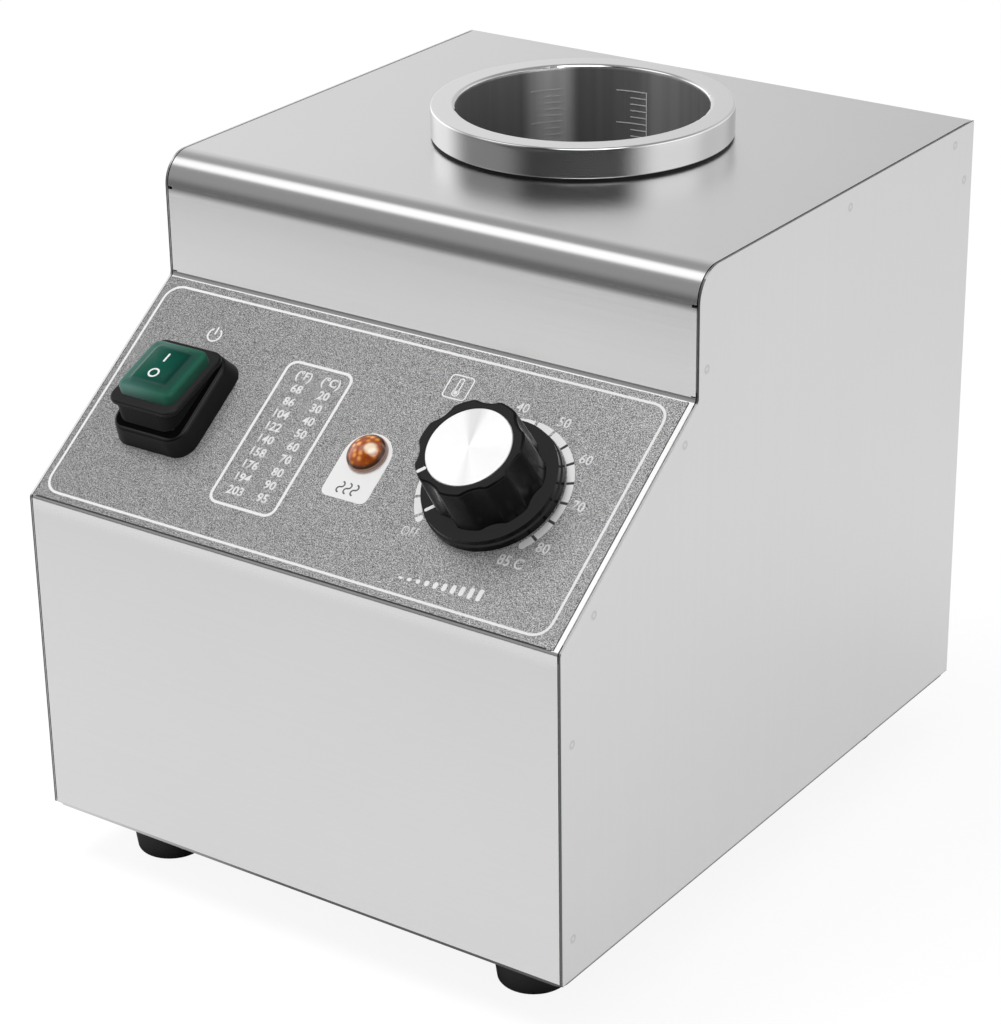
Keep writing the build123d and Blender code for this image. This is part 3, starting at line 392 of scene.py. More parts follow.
def cut_edge(across, top, share):
    """Painted shade mask: one on the outer share of upright cut edges, less on the slope and on top."""
    normal = coordinates(across.id_data, "Normal")
    sideways, _, upwards = axes(normal)
    edge = calc("LESS_THAN", calc("ABSOLUTE", sideways), 0.5)
    outer = calc("GREATER_THAN", across, side_high.x - SIDE_SHEET * share)
    edge = calc("MULTIPLY", edge, outer)
    slope = calc("GREATER_THAN", vector_calc("DOT_PRODUCT", normal, panel_out), 0.99)
    edge = calc("MULTIPLY", edge, calc("MULTIPLY_ADD", slope, -0.6, 1.0))
    return calc("MULTIPLY", edge, smooth_range(upwards, 0.0, 0.9, 1.0, top))


def side_finish(name, top, share):
    """Upright grain with a row of spot welds, and painted shade on the cut edges and lower edge."""
    material, tree, shader, grain = grained_metal(name, STEEL, SIDE_ROUGH, GRAIN_UPRIGHT)
    across, along, height = axes(coordinates(tree))
    flat = add(tree, "CombineXYZ", Y=along, Z=height).outputs[0]
    nearest = 1.0
    for back, up in spot_welds:
        middle = (0, side_low.y + back * MM, side_low.z + up * MM)
        nearest = calc("MINIMUM", vector_calc("DISTANCE", flat, middle), nearest)
    from_ring = calc("ABSOLUTE", calc("SUBTRACT", nearest, WELD_RADIUS))
    weld = smooth_range(from_ring, 0.2 * WELD_RADIUS, 0.7 * WELD_RADIUS, 1.0, 0.0)
    # Painted shade on the cut edges, lighter along the slope and where they face up.
    edge = cut_edge(calc("ABSOLUTE", across), top, share)
    # Painted shade along the lower edge, over the gap to the base plate.
    lower = calc("LESS_THAN", height, side_low.z + SIDE_LINE)
    shade = grain["Tone"]
    for mask, darker in ((weld, WELD_SHADE), (edge, EDGE_SHADE), (lower, LINE_SHADE)):
        shade = calc("MULTIPLY_ADD", mask, darker, shade)
    shade = calc("MAXIMUM", shade, DARKEST)
    rough = calc("MULTIPLY_ADD", weld, 0.1, grain["Roughness"])
    rough = calc("MULTIPLY_ADD", edge, 0.3, rough)
    feed(shader, Base_Color=scaled(STEEL, shade), Roughness=rough)
    relief(shader, calc("MULTIPLY_ADD", weld, -1.0, grain["Height"]), GRAIN_BUMP)
    return material


own_finishes = {
    "right_side_panel": side_finish("right_steel", 0.78, 1.1),
    "left_side_panel": side_finish("left_steel", 0.1, 0.8),
    "rear_panel": grained_metal("rear_steel", STEEL, SIDE_ROUGH, GRAIN_UPRIGHT)[0],
}
print("spot welds on each side", len(spot_welds))

# %% [markdown]
# The well is one drawn cup: its collar outside is polished like a mirror, while the inside keeps the
# upright brush marks of its making and scatters the light. One material holds both. A mask from the
# distance to the well's axis tells the inside from the collar, and makes the inside less of a mirror.
# Lighter and darker bands round the inside, at fixed bearings, are a painted reflection.

# %% Polished collar and brushed well
collar_low, collar_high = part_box("well_cup")
well_axis = (collar_low + collar_high) / 2
well_mount = next(m for m in frame["record"]["mounts"] if m["name"] == "bottle_well")
LEVEL = (1, 1, 0)
COLLAR_ROUGH = 0.1
INSIDE_ROUGH = 0.38
INSIDE_MIRROR = 0.3
well_radius = well_mount["dims"]["r_mm"] * MM


def well_finish():
    """Mirror polish on the collar, upright brush marks and painted reflection bands inside the cup."""
    material, tree, shader = new_finish("well_steel", STEEL, COLLAR_ROUGH, Metallic=1.0)
    to_axis = (-well_axis.x, -well_axis.y, 0)
    centred = add(tree, "Mapping", Vector=coordinates(tree), Location=to_axis).outputs["Vector"]
    flat = vector_calc("MULTIPLY", centred, LEVEL)
    inside = calc("LESS_THAN", vector_calc("LENGTH", flat), well_radius + 0.0002)
    turned = add(tree, "TexGradient", {"gradient_type": "RADIAL"}, Vector=centred).outputs["Fac"]
    around = add(tree, "TexNoise", {"noise_dimensions": "1D"}, W=turned, Scale=60.0, Detail=5.0)
    streaks = ramp(around.outputs["Fac"], (0.3, 0.85), (0.7, 1.0))
    # Painted reflection: lighter and darker bands at fixed bearings round the inside.
    reflection_bands = ramp(
        turned, (0.0, 0.27), (0.6, 0.16), (0.7, 0.3), (0.74, 0.4), (0.77, 0.26),
        (0.85, 0.26), (0.868, 1.0), (0.9, 0.9), (0.925, 0.32), (1.0, 0.27),
    )
    brushed = vector_calc("MULTIPLY", streaks, reflection_bands)
    feed(
        shader, Base_Color=mixed(inside, STEEL, brushed),
        Roughness=calc("MULTIPLY_ADD", inside, INSIDE_ROUGH - COLLAR_ROUGH, COLLAR_ROUGH),
        Metallic=calc("MULTIPLY_ADD", inside, INSIDE_MIRROR - 1.0, 1.0),
    )
    return material


well_steel = well_finish()

# %% [markdown]
# Black plastic is never plain black: a satin switch, a glossy knob and a dull rubber foot differ in
# how sharply they mirror the room. They share the moulded texture with their own values.

# %% Moulded finishes
def moulded_finish(name, colour, rough, scale=2600.0, contrast=0.25, swing=0.12, bump=0.15, gloss=0.5):
    """Plastic, rubber or clay with an even fine texture."""
    material, tree, shader = new_finish(name, colour, rough, Specular_IOR_Level=gloss)
    wear_group(
        shader, MOULDED_TEXTURE, colour, bump,
        Scale=scale, Roughness=rough, Swing=swing, Contrast=contrast,
    )
    return material


BLACK = (0.0035, 0.0035, 0.004)
boot_black = moulded_finish("boot_black", (0.004, 0.004, 0.0045), 0.5, gloss=0.15)
# Near-black dull finish for a sheet that stands in for the shade of the bezel's hollow.
skirt_shade_black = moulded_finish("skirt_shade_black", (0.002, 0.002, 0.002), 0.9, gloss=0.05)
finishes |= {
    "boot_rubber": boot_black,
    "black_moulding": moulded_finish("switch_black", BLACK, 0.36, gloss=0.26),
    "knob_moulding": moulded_finish("knob_black", BLACK, 0.16, bump=0.04, gloss=0.15),
    "foot_rubber": moulded_finish("foot_black", (0.008, 0.008, 0.0085), 0.6, 1500.0, 0.4, 0.15, 0.4, 0.3),
    "seal_rubber": moulded_finish("seal_black", (0.005, 0.005, 0.005), 0.65, gloss=0.3),
    "gland_nylon": moulded_finish("gland_black", (0.015, 0.015, 0.016), 0.45),
    "control_moulding": moulded_finish("control_brown", (0.06, 0.05, 0.045), 0.5),
    "ceramic": moulded_finish("ceramic_white", (0.72, 0.7, 0.64), 0.35, 400.0),
    "insulation_wool": moulded_finish("wool_white", (0.72, 0.7, 0.62), 0.9, 500.0, 0.5, 0.1, 1.0),
}

# %% [markdown]
# The label is a grey film with a fine bright and dark speckle, like sandblasted aluminium. A noise
# with grains of about a quarter of a millimetre gives the speckle; a ramp widens its contrast, and the
# same noise makes the film a little uneven, so that grains glint. Its cut edge is dark.

# %% Label film and printing ink
def label_finish():
    """Speckled grey film with a painted sheen that makes it paler towards the right."""
    material, tree, shader = new_finish("label_film", (0.34, 0.34, 0.34), 0.5)
    place = coordinates(tree)
    grains = noise(place, 4300.0, 2.0, Roughness=0.6)
    speckle = ramp(grains, (0.41, 0.03), (0.5, 0.25), (0.59, 0.74))
    # Painted sheen: the film gets paler towards the right.
    paler = add(
        tree, "MapRange", Value=axes(place)["X"], To_Min=0.78, To_Max=1.1,
        From_Min=label_low.x * MM, From_Max=label_high.x * MM,
    ).outputs[0]
    facing = vector_calc("DOT_PRODUCT", coordinates(tree, "Normal"), panel_out)
    outward = calc("GREATER_THAN", facing, 0.5)
    feed(shader, Base_Color=mixed(outward, 0.03, scaled(speckle, paler)))
    relief(shader, grains, 0.25)
    return material


def ink(name, grey, contrast=0.1, rough=0.45):
    """Smooth printing ink."""
    return moulded_finish(name, (grey, grey, grey), rough, 4000.0, contrast, 0.05, 0.05)


label_film = label_finish()
white_ink = ink("white_ink", 0.84, 0.06)
pale_ink = ink("pale_ink", 0.72, 0.06)
grey_ink = ink("grey_ink", 0.1)
shadow_ink = ink("shadow_ink", 0.02, rough=0.5)

# %% [markdown]
# The rocker's cap is thick green plastic over a dark frame. Thick coloured plastic swallows light in
# its middle and lets it out at its rim, so the rim looks paler. Real glass shaders would need many
# samples for this, and the colour follows the shape anyway: here a mask in the piece's own directions
# paints that light into the colour, and a blend of two ramps paints the left side lighter than the
# right, as light from the left would make it.

# %% Green cap
def local_place(tree, place):
    """Coordinates in the directions of a local frame, in metres from its origin."""
    return add(
        tree, "Mapping", {"vector_type": "TEXTURE"}, Vector=coordinates(tree),
        Location=place.to_translation(), Rotation=place.to_3x3().normalized().to_euler(),
    ).outputs["Vector"]


def glossy_plastic(name, colour, roughness, coat, ior):
    """Smooth coloured plastic with a clear skin that shines more or less."""
    material, tree, shader = new_finish(
        name, colour, roughness, Specular_IOR_Level=0.03,
        Coat_Weight=coat, Coat_Roughness=roughness, Coat_IOR=ior,
    )
    relief(shader, noise(coordinates(tree), 250.0, 2.0), 0.04, 0.0002)
    return material, tree, shader


lens_low, lens_high = measured("rocker_lens", rocker)


def cap_finish():
    """Green plastic, deep in the middle, with painted light that makes the rim mint, most on the left."""
    material, tree, shader = glossy_plastic("green_plastic", (0.01, 0.09, 0.06), 0.2, 0.08, 1.45)
    across, along, _ = axes(local_place(tree, rocker))
    rim = calc("MAXIMUM", *(
        calc("DIVIDE", calc("ABSOLUTE", way), half * MM)
        for way, half in zip((across, along), lens_high)
    ))
    # Painted light: the rim paler, the left side lighter than the right.
    left = ramp(
        rim, (0.0, (0.004, 0.082, 0.054)), (0.6, (0.005, 0.08, 0.052)),
        (0.66, (0.024, 0.09, 0.072)), (0.8, (0.05, 0.135, 0.11)), (1.0, (0.11, 0.22, 0.19)),
    )
    right = ramp(
        rim, (0.0, (0.004, 0.082, 0.054)), (0.45, (0.003, 0.055, 0.038)),
        (0.6, (0.003, 0.042, 0.03)), (0.66, (0.025, 0.07, 0.056)), (0.8, (0.014, 0.085, 0.056)),
        (1.0, (0.025, 0.12, 0.08)),
    )
    side = smooth_range(across, lens_low.x * 0.8 * MM, lens_high.x * 0.8 * MM)
    feed(shader, Base_Color=mixed(side, left, right))
    return material


green_plastic = cap_finish()

# %% [markdown]
# The pilot lamp is amber plastic with a moulded pattern of small lenses. A pattern of cells, coloured
# by the distance to each cell's middle, stands for the lenses, with painted glints at their middles; a
# bright spot beside the middle is a painted highlight, and rings of colour make the rim and the flange.

# %% Amber lamp
lamp_low, lamp_high = measured("lamp_lens", panel)
lamp_middle = (lamp_low + lamp_high) / 2
lamp_place = panel @ Matrix.Translation((lamp_middle.x, lamp_middle.y, lamp_low.z))
lamp_radius = (lamp_high.x - lamp_low.x) / 2
HIGHLIGHT_SPOT = (2.5 * MM, 0.5 * MM, 0)


def lamp_finish():
    """Amber plastic with painted glints on small lenses and a painted highlight, in a dark rim and pale flange."""
    material, tree, shader = glossy_plastic("amber_plastic", (0.3, 0.07, 0.01), 0.06, 1.0, 1.7)
    flat = vector_calc("MULTIPLY", local_place(tree, lamp_place), LEVEL)
    # Painted glints at the middles of the small lenses.
    cells = add(tree, "TexVoronoi", Vector=flat, Scale=480.0, Randomness=0.6)
    glints = ramp(
        cells.outputs["Distance"], (0.0, (1.0, 0.6, 0.24)), (0.28, (0.78, 0.3, 0.05)),
        (0.48, (0.42, 0.085, 0.007)), (1.0, (0.22, 0.036, 0.002)),
    )
    # Painted highlight: a cream spot beside the middle.
    aside = vector_calc("DISTANCE", flat, HIGHLIGHT_SPOT)
    glints = mixed(smooth_range(aside, 2.5 * MM, 1.1 * MM), glints, (1.0, 0.84, 0.62))
    share = calc("DIVIDE", vector_calc("LENGTH", flat), lamp_radius * MM)
    edge = ramp(share, (0.76, 0.0), (0.88, 1.0))
    brown = (0.06, 0.03, 0.018)
    outer = ramp(share, (0.0, brown), (0.93, brown), (0.965, (0.5, 0.32, 0.25)))
    feed(shader, Base_Color=mixed(edge, glints, outer))
    return material


amber_plastic = lamp_finish()
print("lamp from", lamp_low, "to", lamp_high)

# %% [markdown]
# The knob's disc is turned aluminium: fine circles from the lathe make the light fan out from the
# centre in bright and dark wedges. A radial gradient about the knob's axis, read through a ramp,
# paints these wedges into the colour as a painted reflection, and very fine rings give the relief.

# %% Turned aluminium disc
knob_u = knob_place.x / MM


def disc_finish():
    """Spun aluminium with a painted reflection in wedges about the knob's axis."""
    material, tree, shader = new_finish("turned_aluminium", (0.8, 0.8, 0.8), 0.3, Metallic=1.0)
    on_knob = local_place(tree, panel @ Matrix.Translation((knob_u, 0, 0)))
    around = add(tree, "TexGradient", {"gradient_type": "RADIAL"}, Vector=on_knob)
    # Painted reflection: bright and dark wedges fanning out from the centre.
    wedges = ramp(
        around.outputs["Fac"],
        (0.0, 0.8), (0.2, 0.82), (0.27, 0.8), (0.31, 0.72), (0.35, 0.8), (0.5, 0.77), (0.58, 0.82),
        (0.745, 0.8), (0.785, 0.63), (0.82, 0.66), (0.86, 0.8), (1.0, 0.8),
    )
    feed(shader, Base_Color=wedges)
    rings = add(
        tree, "TexWave", {"wave_type": "RINGS", "rings_direction": "Z"},
        Vector=on_knob, Scale=900.0, Distortion=0.4,
    )
    relief(shader, rings.outputs["Fac"], 0.12, 0.00005)
    return material


# %% [markdown]
# With the last finishes filed, one loop dresses all the solids by their slots. The side panels and the
# rear have their grain upright, unlike the folded shell, so they come by their own names.

# %% Dress the solids
finishes |= {
    "polished_stainless": well_steel,
    "label_film": label_film,
    "green_lens": green_plastic,
    "amber_lens": amber_plastic,
    "knob_aluminium": disc_finish(),
}
for row in frame["record"]["subparts"]:
    materials = nodes[row["node"]].data.materials
    materials.clear()
    materials.append(own_finishes.get(row["node"], finishes[row["material_slot"]]))

# %% [markdown]
# New pieces start as a bmesh in millimetres, in the panel's or the rocker's own directions, and one
# helper turns them into objects at the origin with their place in the mesh. Printing is a thin layer
# of ink: flat faces pushed out by a few hundredths of a millimetre.

# %% Helpers for new pieces
INK = 0.04
SHARP = 40.0
on_label = panel @ Matrix.Translation((0, 0, label_high.z))


def linked(name, data):
    """Object of some data, linked to the scene."""
    made = bpy.data.objects.new(name, data)
    bpy.context.scene.collection.objects.link(made)
    return made


def new_piece(name, shape, place, material, body, smooth=False):
    """Finish a bmesh as an object that rides on a body, or on none yet."""
    bmesh.ops.transform(shape, matrix=place, verts=shape.verts[:])
    mesh = bpy.data.meshes.new(name)
    shape.to_mesh(mesh)
    shape.free()
    if smooth:
        mesh.shade_smooth()
        mesh.set_sharp_from_angle(angle=math.radians(SHARP))
    piece = linked(name, mesh)
    mesh.materials.append(material)
    if body:
        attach(piece, body)
    return piece


def outwards(shape):
    """Turn all faces of a shape the same way, outwards on a closed one."""
    bmesh.ops.recalc_face_normals(shape, faces=shape.faces[:])


def thicken(shape, height=INK):
    """Push flat faces out into a thin closed layer."""
    outwards(shape)
    grown = bmesh.ops.extrude_face_region(shape, geom=shape.faces[:])["geom"]
    top = [element for element in grown if isinstance(element, bmesh.types.BMVert)]
    bmesh.ops.translate(shape, vec=(0, 0, height), verts=top)
    outwards(shape)


def printed(name, shape, material=white_ink, height=INK):
    """Flat faces as a layer on the label."""
    thicken(shape, height)
    return new_piece(name, shape, on_label, material, "cabinet")


# %% [markdown]
# Three shapes come again and again on the label: a face with rounded corners, a closed line, and
# plain characters. Bevelled corners and insets keep the lines even, and a text curve becomes a mesh.

# %% Flat shapes
CAPITAL = 0.7


def rounded_face(shape, width, length, corner, at=(0, 0, 0), crown=None, segments=6):
    """Flat face with rounded corners, the upper two with a radius of their own if given."""
    known = set(shape.faces)
    made = bmesh.ops.create_grid(shape, x_segments=1, y_segments=1, size=0.5)["verts"]
    bmesh.ops.scale(shape, vec=(width, length, 1), verts=made)
    upper = [vertex for vertex in made if vertex.co.y > 0]
    lower = [vertex for vertex in made if vertex.co.y < 0]
    for pair, radius in ((upper, crown or corner), (lower, corner)):
        bmesh.ops.bevel(
            shape, geom=pair, offset=radius, offset_type="OFFSET", affect="VERTICES",
            segments=segments, profile=0.5, material=-1,
        )
    face = next(face for face in shape.faces if face not in known)
    bmesh.ops.translate(shape, vec=at, verts=face.verts[:])
    return face


def outline(shape, width, length, corner, line, at=(0, 0, 0)):
    """Closed line of a given breadth along a rounded rectangle."""
    face = rounded_face(shape, width, length, corner, at)
    bmesh.ops.inset_region(shape, faces=[face], thickness=line, use_boundary=True, use_even_offset=True)
    bmesh.ops.delete(shape, geom=[face], context="FACES_ONLY")


def lettering(shape, text, cap, at, squeeze=1.0, weight=0.02):
    """Add plain bold characters with a given capital height, centred on a point."""
    curve = bpy.data.curves.new("characters", "FONT")
    curve.body = text
    curve.resolution_u = 3
    curve.offset = weight
    writer = bpy.data.objects.new("characters", curve)
    mesh = bpy.data.meshes.new_from_object(writer)
    known = set(shape.verts)
    shape.from_mesh(mesh)
    added = [vertex for vertex in shape.verts if vertex not in known]
    size = cap / CAPITAL
    bmesh.ops.scale(shape, vec=(size * squeeze, size, 1), verts=added)
    corners = [Vector(map(pick, *(vertex.co for vertex in added))) for pick in (min, max)]
    bmesh.ops.translate(shape, vec=Vector(at) - (corners[0] + corners[1]) / 2, verts=added)
    bpy.data.objects.remove(writer)
    bpy.data.curves.remove(curve)
    bpy.data.meshes.remove(mesh)


# %% [markdown]
# The label's own edges come first: a strip that widens the film by half a millimetre on the right, a
# painted shadow line along its lower edge, a white frame round the whole film, and a smaller one
# round a table that turns one temperature scale into the other. Plain numbers fill it.

# %% Frame lines and the table
SLOPE_MIDDLE = 44.1
MARGIN = 0.5
MARGIN_LAP = 0.4
EDGE_SHADOW = 0.4
FRAME = ((-96.2, 92.5), (2.9, 84.6), 5.9, 0.85)
TABLE = ((-38.0, -12.6), (15.0, 68.9), 3.7, 0.95)
COLUMNS = (-29.9, -19.5)
HEADER = 63.8
FIRST_ROW = 59.2
ROW_PITCH = 4.8
label_size = label_high - label_low


def up_slope(v):
    """Height on the panel's axes of a place measured from the slope's front fold."""
    return v - SLOPE_MIDDLE


def framed(shape, across, along, corner, line):
    """Outline between two limits across and two along the slope."""
    middle = (sum(across) / 2, up_slope(sum(along) / 2), 0)
    outline(shape, across[1] - across[0], along[1] - along[0], corner, line, middle)


margin = bmesh.new()
margin_middle = (label_high.x + (MARGIN - MARGIN_LAP) / 2, 0, -0.26)
rounded_face(margin, MARGIN + MARGIN_LAP, label_size.y - 0.2, 0.1, margin_middle)
printed("label_margin", margin, label_film, 0.25)

# Painted shadow under the label's lower edge, in near-black ink.
edge_shadow = bmesh.new()
edge_middle = ((label_low.x + label_high.x) / 2, label_low.y + EDGE_SHADOW / 2, 0)
rounded_face(edge_shadow, label_size.x - 3, EDGE_SHADOW, 0.1, edge_middle)
printed("label_edge_shadow", edge_shadow, shadow_ink, INK / 2)

lines = bmesh.new()
framed(lines, *FRAME)
framed(lines, *TABLE)
printed("label_lines", lines)

table = bmesh.new()
rows = [(HEADER, "(°F)", "(°C)")]
for step, degrees in enumerate((20, 30, 40, 50, 60, 70, 80, 90, 95)):
    rows.append((FIRST_ROW - step * ROW_PITCH, str(degrees * 9 // 5 + 32), str(degrees)))
for row_v, *texts in rows:
    for column, text in zip(COLUMNS, texts):
        lettering(table, text, 2.9, (column, up_slope(row_v), 0), weight=0.03)
printed("table_numbers", table)
print("rows of the table", len(rows))

# %% [markdown]
# Round the knob runs a scale of white blocks with numbers. A block is a short edge spun about the
# dial's middle, so that its sides stay round; the first and the last block get round ends. The gaps on
# the hot side are filled with near-black ink as a painted shadow of the knob. The print sits half a
# millimetre beside the knob's shaft, as prints do.

# %% Dial blocks and numbers
DIAL_U = 52.06
DIAL_RADIUS = 23.7
DIAL_LINE = 2.4
DIAL_START = 226.0
DIAL_END = 132.0
FIRST_BREAK = 232.0
BLOCK_STEP = 16.5
BLOCK_GAP = 2.2
HOT_FROM = 360 + 30
breaks = [FIRST_BREAK + step * BLOCK_STEP for step in range(16)]


def clock(angle, radius, centre_u=DIAL_U):
    """Point at an angle clockwise from up the slope, about the dial or another middle."""
    turn = math.radians(angle)
    return Vector((centre_u + radius * math.sin(turn), radius * math.cos(turn), 0))


def ring(shape, radius, line, at, start=0.0, sweep=360.0, steps=32):
    """Part of a ring: a short edge spun clockwise from an angle; returns the edge's ends."""
    way = clock(start, 1, 0)
    ends = [shape.verts.new(Vector(at) + way * (radius + side * line / 2)) for side in (-1, 1)]
    edge = shape.edges.new(ends)
    bmesh.ops.spin(
        shape, geom=ends + [edge], cent=at, axis=(0, 0, -1), angle=math.radians(sweep),
        steps=steps, use_merge=sweep >= 360,
    )
    return ends


def dial_block(shape, start, sweep, steps=7):
    """Sector of the dial from a start angle through a sweep; returns the ends of its first edge."""
    return ring(shape, DIAL_RADIUS, DIAL_LINE, (DIAL_U, 0, 0), start, sweep, steps)


def end_block(shape, start, sweep):
    """Last sector of the dial, with its starting end rounded off."""
    bmesh.ops.bevel(
        shape, geom=dial_block(shape, start, sweep, steps=1), offset=DIAL_LINE * 0.46,
        offset_type="OFFSET", affect="VERTICES", segments=5, profile=0.5, material=-1,
    )


dial = bmesh.new()
end_block(dial, DIAL_START, breaks[0] - BLOCK_GAP / 2 - DIAL_START)
end_block(dial, DIAL_END, breaks[-1] + BLOCK_GAP / 2 - DIAL_END - 360)
for opening in breaks[:-1]:
    dial_block(dial, opening + BLOCK_GAP / 2, BLOCK_STEP - BLOCK_GAP)
printed("dial_blocks", dial)

# Painted shadow of the knob: near-black ink in the gaps on the hot side.
gaps = bmesh.new()
for opening in breaks:
    if opening > HOT_FROM:
        dial_block(gaps, opening - BLOCK_GAP / 2, BLOCK_GAP, steps=2)
printed("dial_gap_shadows", gaps, shadow_ink, INK / 2)

marks = bmesh.new()
dial_numbers = {"20": 284.5, "30": 317, "40": 349.5, "50": 21, "60": 54, "70": 86.5, "80": 119.3}
for text, angle in dial_numbers.items():
    lettering(marks, text, 3.3, clock(angle, 28.6), 0.92, weight=0.014)
lettering(marks, "85 C", 3.5, clock(140, 27.2), 0.86)
printed("dial_numbers", marks)
rest_mark = bmesh.new()
lettering(rest_mark, "OFF", 3.3, clock(221.7, 27.4), 0.75, weight=0.01)
printed("dial_off", rest_mark, pale_ink)
print("dial breaks at", [angle % 360 for angle in breaks])

# %% [markdown]
# Three plain signs say what the controls do: a power sign over the switch, a thermometer in a square,
# and a rising wedge under the knob. They are drawn from parts of rings and from short round bars.

# %% Signs
def bar(shape, width, length, at, turn=0.0):
    """Short straight stroke with rounded ends."""
    before = set(shape.verts)
    rounded_face(shape, width, length, min(width, length) * 0.49, segments=4)
    added = [vertex for vertex in shape.verts if vertex not in before]
    turned = Matrix.Rotation(math.radians(turn), 3, "Z")
    bmesh.ops.rotate(shape, cent=(0, 0, 0), matrix=turned, verts=added)
    bmesh.ops.translate(shape, vec=at, verts=added)


signs = bmesh.new()
power_at = Vector((-69.5, up_slope(70.3), 0))
ring(signs, 2.4, 0.6, power_at, start=32, sweep=296)
bar(signs, 0.6, 2.9, power_at + Vector((0, 1.6, 0)))
gauge_at = Vector((22.7, up_slope(73.5), 0))
bulb_at = gauge_at + Vector((0, -2.0, 0))
outline(signs, 8.6, 8.6, 1.4, 0.45, gauge_at)
ring(signs, 1.15, 0.4, bulb_at, start=30, sweep=300)
ring(signs, 0.35, 0.7, bulb_at)
ring(signs, 0.72, 0.4, gauge_at + Vector((0, 2.4, 0)), start=-90, sweep=180)
for side in (-1, 1):
    bar(signs, 0.4, 3.6, gauge_at + Vector((side * 0.72, 0.7, 0)))
printed("panel_signs", signs)

WEDGE_BARS = 10
wedge = bmesh.new()
wedge_at = Vector((52.5, up_slope(10.5), 0))
for step in range(WEDGE_BARS):
    share = (step + 1) / WEDGE_BARS
    place = wedge_at + Vector((-13.5 + step * 3.0, 1.85 * share - 1.85, 0))
    bar(wedge, 1.5, 3.7 * share + 0.4, place)
printed("rising_bars", wedge)

# %% [markdown]
# The lamp stands on a white tag with a round top, and heat waves on the tag tell what it shows. The
# top's corners are bevelled by half the width, and each wave is two half rings.

# %% Lamp tag
TAG_WIDTH = 16.9
TAG_TOP = 7.5
WAVE = 0.95
tag_foot = up_slope(27.6)
tag = bmesh.new()
rounded_face(
    tag, TAG_WIDTH, TAG_TOP - tag_foot, 2.4, (lamp_middle.x, (TAG_TOP + tag_foot) / 2, 0),
    crown=TAG_WIDTH / 2 * 0.999, segments=16,
)
printed("lamp_tag", tag)

waves = bmesh.new()
for step in (-1, 0, 1):
    root = Vector((lamp_middle.x + 2.6 * step, up_slope(31.5), INK))
    for side, start in ((1, 0), (-1, 180)):
        ring(waves, WAVE, 0.5, root + Vector((0, side * WAVE, 0)), start, sweep=180, steps=12)
printed("heat_waves", waves, grey_ink)

# %% [markdown]
# A white line on the knob's top and one on its skirt show where it points. They turn with the knob.

# %% Knob pointers
POINTER = 223.5
POINTER_WIDTH = 1.1
SKIRT_TOP = 5.5
knob_top = measured("knob_grip", panel)[1].z


def pointer(name, inner, outer, height):
    """White line along the pointer's direction on a level of the knob."""
    shape = bmesh.new()
    middle = clock(POINTER, (inner + outer) / 2, knob_u) + Vector((0, 0, height))
    bar(shape, POINTER_WIDTH, outer - inner, middle, -POINTER)
    thicken(shape, 0.06)
    return new_piece(name, shape, panel, white_ink, "knob")


top_pointer = pointer("top_pointer", 13.5, 16.6, knob_top)
skirt_pointer = pointer("skirt_pointer", 16.9, 20.9, SKIRT_TOP)
print("knob top at", knob_top)

# %% [markdown]
# The rocker's cap is a pillow of coloured plastic: straight sides, a soft shoulder, and a raised flat
# with sloping sides that carries the two marks. The top face is drawn up again and again, each time a
# little narrower: five chords of a quarter circle make the shoulder, and three more steps the flat.

# %% Rocker cap and its marks
CAP_CORNER = 3.0
CAP_EDGE = 1.2
EDGE_STEPS = 5
FLAT_FOOT = (16.4, 18.4)
FLAT_WIDTH = 13.0
FLAT_LENGTH = 16.0
FLAT_EDGE = 0.3
FLAT_RISE = 1.3
cap_size = lens_high - lens_low
cap_side = cap_size.z - FLAT_RISE - CAP_EDGE


def drawn_up(shape, face, width, length, rise):
    """Extrude a face, bring it to a width and a length about the origin, raise it and return it."""
    drawn = bmesh.ops.extrude_discrete_faces(shape, faces=[face])["faces"][0]
    reach = [max(abs(vertex.co[axis]) for vertex in drawn.verts) for axis in (0, 1)]
    bmesh.ops.scale(shape, vec=(width / 2 / reach[0], length / 2 / reach[1], 1), verts=drawn.verts[:])
    bmesh.ops.translate(shape, vec=(0, 0, rise), verts=drawn.verts[:])
    return drawn


cap = bmesh.new()
rounded_face(cap, cap_size.x, cap_size.y, CAP_CORNER, (0, 0, lens_low.z))
thicken(cap, cap_side)
top = max(cap.faces, key=lambda face: face.calc_center_median().z)
for step in range(EDGE_STEPS):
    before, after = (math.pi / 2 * count / EDGE_STEPS for count in (step, step + 1))
    lost = 2 * CAP_EDGE * (1 - math.cos(after))
    rise = CAP_EDGE * (math.sin(after) - math.sin(before))
    top = drawn_up(cap, top, cap_size.x - lost, cap_size.y - lost, rise)
top = drawn_up(cap, top, *FLAT_FOOT, 0)
top = drawn_up(cap, top, FLAT_WIDTH, FLAT_LENGTH, FLAT_RISE * 0.85)
top = drawn_up(cap, top, FLAT_WIDTH - 2 * FLAT_EDGE, FLAT_LENGTH - 2 * FLAT_EDGE, FLAT_RISE * 0.15)
outwards(cap)
rocker_cap = new_piece("rocker_cap", cap, rocker, green_plastic, "rocker", smooth=True)
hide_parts("rocker_lens")

symbols = bmesh.new()
bar(symbols, 0.68, 3.7, (0, 3.4, 0))
ring(symbols, 1.65, 0.64, (0, -3.6, 0))
thicken(symbols, 0.05)
bmesh.ops.translate(symbols, vec=(0, 0, lens_high.z), verts=symbols.verts[:])
rocker_marks = new_piece("rocker_marks", symbols, rocker, white_ink, "rocker")
print("rocker cap", cap_size)

# %% [markdown]
# Between the switch's bezel and the rocker sits a rubber bellows. Its fold is a flat ring, tilted a
# fifth as far as the rocker rests.

